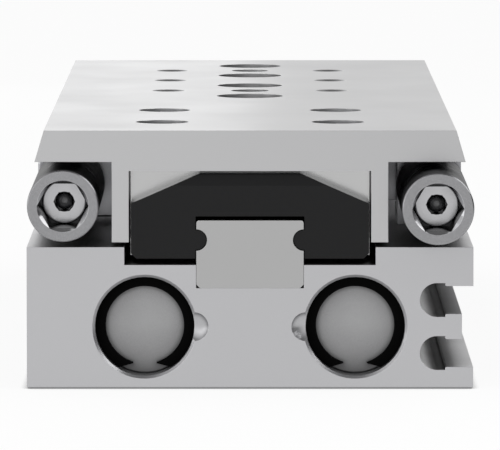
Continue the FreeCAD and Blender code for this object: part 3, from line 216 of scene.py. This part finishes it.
nickelledSteel = {  # nickel-plated turned steel: a fine dull speckle
    "colour": "949496", "edgeColour": "d4d4d6", "metallic": 1.0, "roughness": 0.3,
    "roughnessSpread": 0.04, "toneSpread": 0.09, "grainMm": 0.25, "grainHeightMm": 0.005,
    "lineMm": 0.2, "lineRun": 6, "linesAlong": "Z", "lineHeightMm": 0.001, "cloudMm": 5, "grazing": "7c7c7c",
    "edgeMm": 0.1, "wear": 0.7, "cavityMm": 7, "cavityFrom": 0.1, "cavityTo": 0.8, "paintedCavityShade": 0.2}
coinedMouth = dict(  # pressed to shape, so it shines in crisp strips
    nickelledSteel, colour="b4b4b6", roughness=0.12, roughnessSpread=0.02, toneSpread=0.03,
    grainHeightMm=0.001, cavityMm=3, paintedCavityShade=0.7)
turnedInsert = {  # turned and tumbled steel: brighter than the sleeve; painted shade darkens it only where it meets the wall
    "colour": "b4b4b6", "edgeColour": "c4c4c6", "metallic": 1.0, "roughness": 0.14,
    "roughnessSpread": 0.03, "toneSpread": 0.02, "grainMm": 0.12, "grainHeightMm": 0.001,
    "lineMm": 0.15, "lineRun": 8, "linesAlong": "Z", "lineHeightMm": 0.0005, "cloudMm": 4,
    "edgeMm": 0.08, "wear": 0.2, "cavityMm": 5, "cavityFrom": 0.12, "cavityTo": 0.4, "paintedCavityShade": 0.05}
zincedBlock = {  # zinc-plated milled steel: smoother and cooler than the sleeves
    "colour": "acacaf", "edgeColour": "d0d0d2", "metallic": 1.0, "roughness": 0.22,
    "roughnessSpread": 0.03, "toneSpread": 0.03, "grainMm": 0.2, "grainHeightMm": 0.001,
    "lineMm": 0.2, "lineRun": 40, "linesAlong": "Y", "lineHeightMm": 0.001, "cloudMm": 6, "grazing": "808080",
    "edgeMm": 0.12, "wear": 0.6, "cavityMm": 3, "cavityFrom": 0.2, "cavityTo": 0.8, "paintedCavityShade": 0.5}
zincedScrew = dict(zincedBlock, colour="b2b3b6", roughness=0.28, edgeColour="d8d9dc")  # rolled and plated
chromedRod = {  # hard chrome, polished: near mirror with faint polishing lines
    "colour": "cfd0d3", "edgeColour": "e0e0e2", "metallic": 1.0, "roughness": 0.12,
    "roughnessSpread": 0.02, "toneSpread": 0.0, "grainMm": 0.2, "grainHeightMm": 0.0003,
    "lineMm": 0.1, "lineRun": 20, "linesAlong": "X", "lineHeightMm": 0.0005, "cloudMm": 20,
    "edgeMm": 0.1, "wear": 0.2, "cavityMm": 2, "cavityFrom": 0.2, "cavityTo": 0.8, "paintedCavityShade": 0.4}
turnedBrass = {  # turned brass: warm, with fine feed rings
    "colour": "c9a765", "edgeColour": "e2c98c", "metallic": 1.0, "roughness": 0.3,
    "roughnessSpread": 0.03, "toneSpread": 0.03, "grainMm": 0.15, "grainHeightMm": 0.001,
    "lineMm": 0.15, "lineRun": 20, "linesAlong": "X", "lineHeightMm": 0.002, "cloudMm": 6,
    "edgeMm": 0.1, "wear": 0.4, "cavityMm": 2, "cavityFrom": 0.2, "cavityTo": 0.8, "paintedCavityShade": 0.4}
phosphatedRing = {  # phosphated spring steel: porous, near black, hardly any gloss
    "colour": "060606", "metallic": 0.0, "roughness": 0.7, "specular": 0.03, "roughnessSpread": 0.05,
    "grainMm": 0.08, "grainHeightMm": 0.003, "edgeMm": 0.06,
    "cavityMm": 2, "cavityFrom": 0.2, "cavityTo": 0.8, "paintedCavityShade": 0.1}
blackAcetal = {  # moulded acetal: smooth and dark, with a waxy sheen that shows at a low angle
    "colour": "131314", "metallic": 0.0, "roughness": 0.16, "specular": 0.2, "roughnessSpread": 0.03,
    "grainMm": 0.12, "grainHeightMm": 0.002, "edgeMm": 0.15,
    "cavityMm": 5, "cavityFrom": 0.2, "cavityTo": 0.9, "paintedCavityShade": 0.3}
magnetPlastic = {  # ferrite-filled plastic: dark grey and dull
    "colour": "3a3a3c", "metallic": 0.0, "roughness": 0.6, "specular": 0.4, "roughnessSpread": 0.05,
    "grainMm": 0.15, "grainHeightMm": 0.003, "edgeMm": 0.1,
    "cavityMm": 2, "cavityFrom": 0.2, "cavityTo": 0.8, "paintedCavityShade": 0.5}
sealRubber = {  # nitrile rubber: black, soft and dull
    "colour": "161616", "metallic": 0.0, "roughness": 0.75, "specular": 0.3, "roughnessSpread": 0.05,
    "grainMm": 0.2, "grainHeightMm": 0.004, "edgeMm": 0.15,
    "cavityMm": 2, "cavityFrom": 0.2, "cavityTo": 0.8, "paintedCavityShade": 0.5}

stopFinish = machinedFinish("nickel-plated steel", nickelledSteel)
mouthFinish = machinedFinish("coined nickel-plated steel", coinedMouth)
insertFinish = machinedFinish("tumbled turned steel", turnedInsert)
blockFinish = machinedFinish("zinc-plated milled steel", zincedBlock)
slotFinishes = {
    "housing_aluminium": machinedFinish("satin anodised aluminium extrusion", anodisedHousing),
    "slide_aluminium": machinedFinish("satin anodised aluminium plate", anodisedSlide),
    "rail_steel": machinedFinish("ground bearing steel", groundSteel),
    "stop_steel": stopFinish,
    "screw_steel": machinedFinish("zinc-plated rolled steel", zincedScrew),
    "ball_steel": machinedFinish("polished ball steel", chromedRod),
    "rod_steel": machinedFinish("hard chrome", chromedRod),
    "bearing_brass": machinedFinish("turned brass", turnedBrass),
    "piston_aluminium": machinedFinish("turned aluminium", anodisedSlide),
    "ring_steel": mouldedFinish("phosphated spring steel", phosphatedRing),
    "black_plastic": mouldedFinish("black moulded acetal", blackAcetal),
    "magnet_plastic": mouldedFinish("ferrite-filled plastic", magnetPlastic),
    "seal_rubber": mouldedFinish("nitrile rubber", sealRubber),
}
capFinish = machinedFinish("bead-blasted aluminium", blastedCap)
carriageFinish = machinedFinish("fine-ground bearing steel", carriageSteel)
ownFinishes = {"end_cap_left": capFinish, "end_cap_right": capFinish, "carriage_block": carriageFinish,
               "stop_carrier_left": blockFinish, "stop_holder_right": blockFinish,
               "slide_stop_right": blockFinish, "fixed_stop_left": blockFinish}
for part in frame["record"]["subparts"]:
    finish = ownFinishes.get(part["node"], slotFinishes[part["material_slot"]])
    for slot in frame["nodes"][part["node"]].material_slots:
        slot.material = finish
print("finishes given to", len(frame["nodes"]), "nodes")


# Turned pieces and threads

spokes = 72  # round pieces turn in steps of 5 degrees, and a hexagon's corners fall on every twelfth
stepsPerTurn = 36  # of a thread ridge
hair = 0.01  # mm that keep two rings apart where they would meet
thinnest = 0.02  # the share of its height to which a thread ridge runs out
weldGap = 1e-7  # metres
sharpAngle = 28  # degrees: flatter corners are shaded smooth
facing = 1e-6  # a side that faces the ray by less than this cosine isn't met by it


def hexReach(angle, acrossFlats):
    # how far a hexagon with a corner at angle 0 reaches from its axis
    return acrossFlats / 2 / math.cos(angle % (math.pi / 3) - math.pi / 6)


def evenAngles():
    return [2 * math.pi * step / spokes for step in range(spokes)]


def addTurned(mesh, centre, rings, closed, angles, secondFinish=()):
    # rings of (along the axis, radius), each a number or a function of the angle, round an axis along Y
    # secondFinish: the rings from which a band with the piece's second finish starts
    loops = []
    for along, radius in rings:
        loop = []
        for angle in angles:
            y = along(angle) if callable(along) else along
            reach = radius(angle) if callable(radius) else radius
            loop.append(mesh.verts.new(((centre[0] + reach * math.cos(angle)) * mm,
                                        (centre[1] + y) * mm,
                                        (centre[2] + reach * math.sin(angle)) * mm)))
        loops.append(loop)
    for row, (first, second) in enumerate(zip(loops, loops[1:] + (loops[:1] if closed else []))):
        for step in range(len(angles)):
            after = (step + 1) % len(angles)
            face = mesh.faces.new((first[step], first[after], second[after], second[step]))
            face.material_index = int(row in secondFinish)
    bmesh.ops.remove_doubles(mesh, verts=mesh.verts, dist=weldGap)


def addRidge(mesh, origin, axis, length, thread):
    # a right-handed thread ridge from its root to its crest, which runs out over half a turn at both ends
    root, crest, pitch = thread["root"], thread["crest"], thread["pitch"]
    ahead = Vector(axis)
    across = Vector((0, 0, 1)) if abs(ahead.z) < 0.5 else Vector((1, 0, 0))
    upright = ahead.cross(across)
    count = int(length / pitch * stepsPerTurn)
    sections = []
    for step in range(count + 1):
        turn = step / stepsPerTurn
        rise = max(thinnest, min(1.0, 2 * turn, 2 * (count / stepsPerTurn - turn)))
        outward = math.cos(2 * math.pi * turn) * across + math.sin(2 * math.pi * turn) * upright
        top = root + (crest - root) * rise
        corners = ((-thread["rootHalf"], root), (-thread["crestHalf"], top),
                   (thread["crestHalf"], top), (thread["rootHalf"], root))
        sections.append([mesh.verts.new((Vector(origin) + (turn * pitch + shift) * ahead
                                         + reach * outward) * mm) for shift, reach in corners])
    for first, second in zip(sections, sections[1:]):
        for corner in range(4):
            after = (corner + 1) % 4
            mesh.faces.new((first[corner], first[after], second[after], second[corner]))
    mesh.faces.new(sections[0])
    mesh.faces.new(sections[-1])


def finishPiece(mesh, name, body, finishes, replaced=()):
    # makes the piece of the mesh, sets it on its body and hides the CAD nodes that it stands for
    bmesh.ops.recalc_face_normals(mesh, faces=mesh.faces)
    data = bpy.data.meshes.new(name)
    mesh.to_mesh(data)
    mesh.free()
    data.shade_smooth()
    data.set_sharp_from_angle(angle=math.radians(sharpAngle))
    for finish in finishes:
        data.materials.append(finish)
    piece = bpy.data.objects.new(name, data)
    scene.collection.objects.link(piece)
    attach(piece, body)
    if replaced:
        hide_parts(*replaced)


sleeve = {  # the stop sleeve, in mm from its rear end: mouth cone, hexagon, insert bore, buffer bore, thread
    "outer": 6.0, "edge": 0.2, "headEnd": 47.2, "length": 66.0, "mouth": 4.35, "mouthDepth": 0.6,
    "hexagon": 7.5, "hexagonEnd": 11.0, "bore": 3.75, "boreEnd": 31.55, "spindleBore": 2.05,
    "bufferBore": 2.5, "bufferStart": 60.0, "core": 3.45, "relief": 1.4, "tipLead": 0.6}
sleeveThread = {"root": 3.4, "crest": 4.0, "pitch": 1.0, "rootHalf": 0.44, "crestHalf": 0.07}
insert = {  # the cushion insert: a flat end with a rounded rim and a hexagon socket, then the spindle
    "start": 9.5, "radius": 3.74, "round": 0.25, "roundSteps": 6, "rimBand": 0.1,
    "socket": 3.15, "socketMouth": 1.7, "socketEnd": 3.6, "socketTip": 4.5,
    "bodyEnd": 22.0, "spindle": 2.0, "end": 50.45, "edge": 0.3}
# the lock nut's corners are turned back at 30 degrees, which is the slope below
lockNut = {"acrossFlats": 10.0, "thick": 3.0, "bore": 4.05, "face": 4.7, "lead": 0.35, "slope": 0.577}
stops = {"stopX": 31.35, "stopZ": 31.0, "housingRear": -99.0, "leftOut": 2.4, "rightOut": 8.6,
         "leftNut": 44.95, "rightNut": 41.95}


def buildSleeve(name, body, centre):
    hexagon = lambda angle: hexReach(angle, sleeve["hexagon"])
    flare = sleeve["mouthDepth"] / (sleeve["mouth"] - sleeve["hexagon"] / 2)
    outer, edge, head, end = sleeve["outer"], sleeve["edge"], sleeve["headEnd"], sleeve["length"]
    rings = [
        (0, sleeve["mouth"]), (lambda angle: (sleeve["mouth"] - hexagon(angle)) * flare, hexagon),
        (sleeve["hexagonEnd"], hexagon), (sleeve["hexagonEnd"], sleeve["bore"]),
        (sleeve["boreEnd"], sleeve["bore"]), (sleeve["boreEnd"], sleeve["spindleBore"]),
        (sleeve["bufferStart"], sleeve["spindleBore"]), (sleeve["bufferStart"], sleeve["bufferBore"]),
        (end, sleeve["bufferBore"]), (end, sleeve["core"] - edge), (end - edge, sleeve["core"]),
        (head + edge, sleeve["core"]), (head, sleeve["core"] + edge), (head, outer - edge),
        (head - edge, outer), (edge, outer), (0, outer - edge)]
    mesh = bmesh.new()
    addTurned(mesh, centre, rings, True, evenAngles(), (0, 1))
    threadStart = head + sleeve["relief"]
    addRidge(mesh, (centre[0], centre[1] + threadStart, centre[2]), (0, 1, 0),
             end - sleeve["tipLead"] - threadStart, sleeveThread)
    finishPiece(mesh, "turned_" + name, body, [stopFinish, mouthFinish], [name])


def buildInsert(name, body, centre):
    hexagon = lambda angle: hexReach(angle, insert["socket"])
    mouth, rim = insert["socketMouth"], insert["radius"] - insert["round"]
    rings = [(insert["socketTip"], 0), (insert["socketEnd"], insert["socket"] / 2),
             (insert["socketEnd"], hexagon),
             (lambda angle: max(hair, mouth - hexagon(angle)), hexagon),
             (0, lambda angle: max(mouth, hexagon(angle) + hair))]
    rings += [(0, rim - insert["rimBand"]), (0, rim)]  # a narrow band keeps the face flat up to its round
    for step in range(1, insert["roundSteps"] + 1):
        angle = math.pi / 2 / insert["roundSteps"] * step
        rings.append((insert["round"] * (1 - math.cos(angle)),
                      rim + insert["round"] * math.sin(angle)))
    edge, bodyEnd, end = insert["edge"], insert["bodyEnd"], insert["end"]
    rings += [(bodyEnd - edge, insert["radius"]), (bodyEnd, insert["radius"] - edge),
              (bodyEnd, insert["spindle"]), (end - edge, insert["spindle"]),
              (end, insert["spindle"] - edge), (end, 0)]
    mesh = bmesh.new()
    addTurned(mesh, centre, rings, False, evenAngles())
    finishPiece(mesh, "turned_" + name, body, [insertFinish], [name])


def buildLockNut(name, body, centre):
    hexagon = lambda angle: hexReach(angle, lockNut["acrossFlats"])
    fall = lambda angle: (hexagon(angle) - lockNut["face"]) * lockNut["slope"]
    thick, bore, lead = lockNut["thick"], lockNut["bore"], lockNut["lead"]
    rings = [(0, lockNut["face"]), (fall, hexagon), (lambda angle: thick - fall(angle), hexagon),
             (thick, lockNut["face"]), (thick, bore + lead), (thick - lead, bore), (lead, bore),
             (0, bore + lead)]
    mesh = bmesh.new()
    addTurned(mesh, centre, rings, True, evenAngles())
    finishPiece(mesh, "chamfered_" + name, body, [stopFinish], [name])


carrier = {  # the left sleeve's carrier: its outer corners slope in, under the wing and over the deck
    "start": 48.0, "long": 12.0, "bore": 4.05, "boreLead": 0.4, "edge": 0.3,
    "outline": ((-35.2, 25.0), (-23.25, 25.0), (-23.25, 38.2), (-36.1, 38.2), (-37.1, 34.4), (-37.1, 27.4))}


def outlineReach(angle, centre, inset):
    # how far the carrier's outline lies from the bore's axis, less an inset
    ahead = Vector((math.cos(angle), math.sin(angle)))
    corners = [Vector(corner) - Vector(centre) for corner in carrier["outline"]]
    reaches = []
    for first, second in zip(corners, corners[1:] + corners[:1]):
        along = (second - first).normalized()
        outward = Vector((along.y, -along.x))
        if ahead.dot(outward) > facing:
            reaches.append((first.dot(outward) - inset) / ahead.dot(outward))
    return min(reaches)


def buildCarrier():
    centre = (-stops["stopX"], stops["stopZ"])
    angles = evenAngles()
    for x, z in carrier["outline"]:
        angles.append(math.atan2(z - centre[1], x - centre[0]) % (2 * math.pi))
    outer = lambda angle: outlineReach(angle, centre, 0)
    inner = lambda angle: outlineReach(angle, centre, carrier["edge"])
    end, edge, bore, lead = carrier["long"], carrier["edge"], carrier["bore"], carrier["boreLead"]
    rings = [(0, inner), (edge, outer), (end - edge, outer), (end, inner), (end, bore + lead),
             (end - lead, bore), (lead, bore), (0, bore + lead)]
    mesh = bmesh.new()
    start = stops["housingRear"] + carrier["start"]
    addTurned(mesh, (centre[0], start, centre[1]), rings, True, sorted(angles))
    finishPiece(mesh, "chamfered_stop_carrier_left", "slide", [blockFinish],
                ["stop_carrier_left"])


buildCarrier()
for side, sign, carrierBody in (("left", -1, "slide"), ("right", 1, "housing")):
    rear = stops["housingRear"] - stops[side + "Out"]
    stopX, stopZ = sign * stops["stopX"], stops["stopZ"]
    buildSleeve("stop_sleeve_" + side, side + "_sleeve", (stopX, rear, stopZ))
    buildInsert("cushion_insert_" + side, side + "_sleeve", (stopX, rear + insert["start"], stopZ))
    buildLockNut("lock_nut_" + side, carrierBody, (stopX, stops["housingRear"] + stops[side + "Nut"], stopZ))
print("stops built")

tapped = {  # tapped holes: the ridge stands a little way in from the wall of the CAD hole
    "payloadX": 15.0, "payloadY": (6.0, 36.0, 66.0), "topZ": 43.5,
    "baseY": (-54.0, 6.0, 66.0), "baseDepth": 8.2,
    "yokeX": 27.0, "yokeZ": (24.5, 36.5), "yokeFront": 112.0, "yokeDepth": 8.2,
    "portX": -37.5, "portY": (-83.5, 75.5), "portZ": 10.5, "portDepth": 6.0, "lead": 0.7}
coarseThread = {"root": 2.62, "crest": 2.42, "pitch": 1.0, "rootHalf": 0.42, "crestHalf": 0.09}
fineThread = {"root": 2.17, "crest": 1.98, "pitch": 0.8, "rootHalf": 0.33, "crestHalf": 0.07}
lead = tapped["lead"]
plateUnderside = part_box("carriage_block")[1][2] / mm  # the plate lies on the carriage
threadGroups = {
    "payload_threads": ("slide", "slide_aluminium", coarseThread, (0, 0, -1),
                        tapped["topZ"] - plateUnderside - 2 * lead,
                        [(side * tapped["payloadX"], y, tapped["topZ"] - lead)
                         for side in (-1, 1) for y in tapped["payloadY"]]),
    "base_threads": ("housing", "housing_aluminium", coarseThread, (0, 0, 1), tapped["baseDepth"] - lead,
                     [(0, y, lead) for y in tapped["baseY"]]),
    "yoke_threads": ("slide", "slide_aluminium", fineThread, (0, -1, 0), tapped["yokeDepth"] - lead,
                     [(side * tapped["yokeX"], tapped["yokeFront"] - lead, z)
                      for side in (-1, 1) for z in tapped["yokeZ"]]),
    "port_threads": ("housing", "housing_aluminium", fineThread, (1, 0, 0), tapped["portDepth"] - lead,
                     [(tapped["portX"] + lead, y, tapped["portZ"]) for y in tapped["portY"]]),
}
for name, (body, slotName, thread, axis, length, origins) in threadGroups.items():
    mesh = bmesh.new()
    for origin in origins:
        addRidge(mesh, origin, axis, length, thread)
    finishPiece(mesh, name, body, [slotFinishes[slotName]])
print("tapped holes:", sum(len(group[5]) for group in threadGroups.values()))


# Studio

# pale and matt: it glows, so that it stays white; painted contact shadow darkens the glow close under
# the object, and painted shade dims it to the right where metal mirrors it
floorLook = {
    "side": 8.0, "colour": "f4f4f4", "roughness": 0.9, "specular": 0.2, "glow": 0.88,
    "contactMm": 2.5, "contactFrom": 0.45, "contactTo": 0.75, "paintedContactShadow": 0.5,
    "mirroredRightShade": 0.28, "rightFrom": 0.1, "rightTo": 0.6}
skyLook = {  # as metal sees it: bright on the left, dim on the right and overhead
    "forMatt": 0.75, "left": 0.94, "right": 0.1, "rightFrom": 0.3, "rightTo": 0.85,
    "overhead": 0.2, "overheadFrom": 0.5, "overheadTo": 0.9}
view = {"lens": 462.9, "sensor": 36.0, "place": (0.0, -1.1736, 0.1192), "pitch": 85.13, "farthest": 50}
lamps = {  # name: place, target, width and height in metres, power in watts; metal mirrors the small ones
    "key": ((-0.9, -0.9, 1.1), (0, 0, 0.02), (1.8, 1.8), 6.0),
    "left": ((-0.7, -0.25, 0.05), (0, 0, 0.03), (0.5, 0.3), 0.4),
    "right": ((0.52, -0.14, 0.46), (0, -0.1, 0.03), (0.5, 0.45), 1.4),
    "behind": ((-0.125, 0.7, 0.14), (-0.125, 0, 0.03), (0.25, 0.15), 0.066),
    "front": ((-0.25, -0.9, 0.135), (-0.25, 0, 0.03), (0.5, 0.23), 0.1),
}


def buildFloor():
    mesh = bpy.data.meshes.new("floor")
    half = floorLook["side"] / 2
    mesh.from_pydata([(-half, -half, 0), (half, -half, 0), (half, half, 0), (-half, half, 0)], [],
                     [(0, 1, 2, 3)])
    floor = bpy.data.objects.new("floor", mesh)
    floor.location.z = cadBounds[0][2]
    scene.collection.objects.link(floor)
    material = bpy.data.materials.new("pale floor")
    material.use_nodes = True
    tree = material.node_tree
    matt = tree.nodes["Principled BSDF"]
    matt.inputs["Base Color"].default_value = linearColour(floorLook["colour"])
    matt.inputs["Roughness"].default_value = floorLook["roughness"]
    matt.inputs["Specular IOR Level"].default_value = floorLook["specular"]
    path = addNode(tree, "ShaderNodeLightPath")
    mirrored = addNode(tree, "ShaderNodeMath", {"operation": "MAXIMUM"}, {},
                       {0: path.outputs["Is Glossy Ray"], 1: path.outputs["Is Transmission Ray"]})
    seen = addNode(tree, "ShaderNodeMath", {"operation": "MAXIMUM"}, {},
                   {0: path.outputs["Is Camera Ray"], 1: mirrored.outputs["Value"]})
    share = addNode(tree, "ShaderNodeMath", {"operation": "MULTIPLY"}, {1: floorLook["glow"]},
                    {0: seen.outputs["Value"]})
    place = addNode(tree, "ShaderNodeTexCoord")
    axes = addNode(tree, "ShaderNodeSeparateXYZ", {}, {}, {0: place.outputs["Object"]})
    # painted shade in reflections: the glow that metal mirrors dims to the right
    sideways = addNode(tree, "ShaderNodeMapRange", {},
                       {"From Min": floorLook["rightFrom"], "From Max": floorLook["rightTo"],
                        "To Min": 1.0, "To Max": floorLook["mirroredRightShade"]}, {"Value": axes.outputs["X"]})
    forMetal = addNode(tree, "ShaderNodeMapRange", {}, {"To Min": 1.0},
                       {"Value": path.outputs["Is Glossy Ray"], "To Max": sideways.outputs["Result"]})
    # painted contact shadow: the floor's glow darkens close under the object
    contact = addNode(tree, "ShaderNodeAmbientOcclusion", {"samples": cavitySamples},
                      {"Distance": floorLook["contactMm"] * mm})
    paintedContactShadow = addNode(tree, "ShaderNodeMapRange", {},
                          {"From Min": floorLook["contactFrom"], "From Max": floorLook["contactTo"],
                           "To Min": floorLook["paintedContactShadow"]},
                          {"Value": contact.outputs["AO"]})
    strength = addNode(tree, "ShaderNodeMath", {"operation": "MULTIPLY"}, {},
                       {0: forMetal.outputs["Result"], 1: paintedContactShadow.outputs["Result"]})
    glow = addNode(tree, "ShaderNodeEmission", {}, {}, {"Strength": strength.outputs["Value"]})
    both = addNode(tree, "ShaderNodeMixShader", {}, {},
                   {0: share.outputs["Value"], 1: matt.outputs["BSDF"], 2: glow.outputs["Emission"]})
    tree.links.new(both.outputs["Shader"], tree.nodes["Material Output"].inputs["Surface"])
    mesh.materials.append(material)


def buildSky():
    # white where the camera or glass looks at it, and graded where metal mirrors it
    world = bpy.data.worlds.new("sky")
    world.use_nodes = True
    scene.world = world
    tree = world.node_tree
    path = addNode(tree, "ShaderNodeLightPath")
    direction = addNode(tree, "ShaderNodeTexCoord")
    axes = addNode(tree, "ShaderNodeSeparateXYZ", {}, {}, {0: direction.outputs["Generated"]})
    sideways = addNode(tree, "ShaderNodeMapRange", {},
                       {"From Min": skyLook["rightFrom"], "From Max": skyLook["rightTo"],
                        "To Min": skyLook["left"], "To Max": skyLook["right"]},
                       {"Value": axes.outputs["X"]})
    overhead = addNode(tree, "ShaderNodeMapRange", {},
                       {"From Min": skyLook["overheadFrom"], "From Max": skyLook["overheadTo"],
                        "To Min": 1.0, "To Max": skyLook["overhead"]}, {"Value": axes.outputs["Z"]})
    graded = addNode(tree, "ShaderNodeMath", {"operation": "MULTIPLY"}, {},
                     {0: sideways.outputs["Result"], 1: overhead.outputs["Result"]})
    forMetal = addNode(tree, "ShaderNodeMapRange", {}, {"To Min": skyLook["forMatt"]},
                       {"Value": path.outputs["Is Glossy Ray"], "To Max": graded.outputs["Value"]})
    seen = addNode(tree, "ShaderNodeMath", {"operation": "MAXIMUM"}, {},
                   {0: path.outputs["Is Camera Ray"], 1: path.outputs["Is Transmission Ray"]})
    strength = addNode(tree, "ShaderNodeMapRange", {}, {"To Max": 1.0},
                       {"Value": seen.outputs["Value"], "To Min": forMetal.outputs["Result"]})
    background = tree.nodes["Background"]
    background.inputs["Color"].default_value = (1, 1, 1, 1)
    tree.links.new(strength.outputs["Result"], background.inputs["Strength"])


def addLamp(name, place, target, size, power):
    light = bpy.data.lights.new(name, "AREA")
    light.shape = "RECTANGLE"
    light.size, light.size_y = size
    light.energy = power
    lamp = bpy.data.objects.new(name, light)
    lamp.location = place
    lamp.rotation_euler = (Vector(target) - Vector(place)).to_track_quat("-Z", "Y").to_euler()
    lamp.visible_camera = False
    scene.collection.objects.link(lamp)


def buildCamera():
    data = bpy.data.cameras.new("camera")
    data.lens = view["lens"]
    data.sensor_width = view["sensor"]
    data.clip_end = view["farthest"]
    camera = bpy.data.objects.new("camera", data)
    camera.location = view["place"]
    camera.rotation_euler = (math.radians(view["pitch"]), 0, 0)
    scene.collection.objects.link(camera)
    scene.camera = camera


buildFloor()
buildSky()
for name, (place, target, size, power) in lamps.items():
    addLamp(name, place, target, size, power)
buildCamera()
print("studio ready")
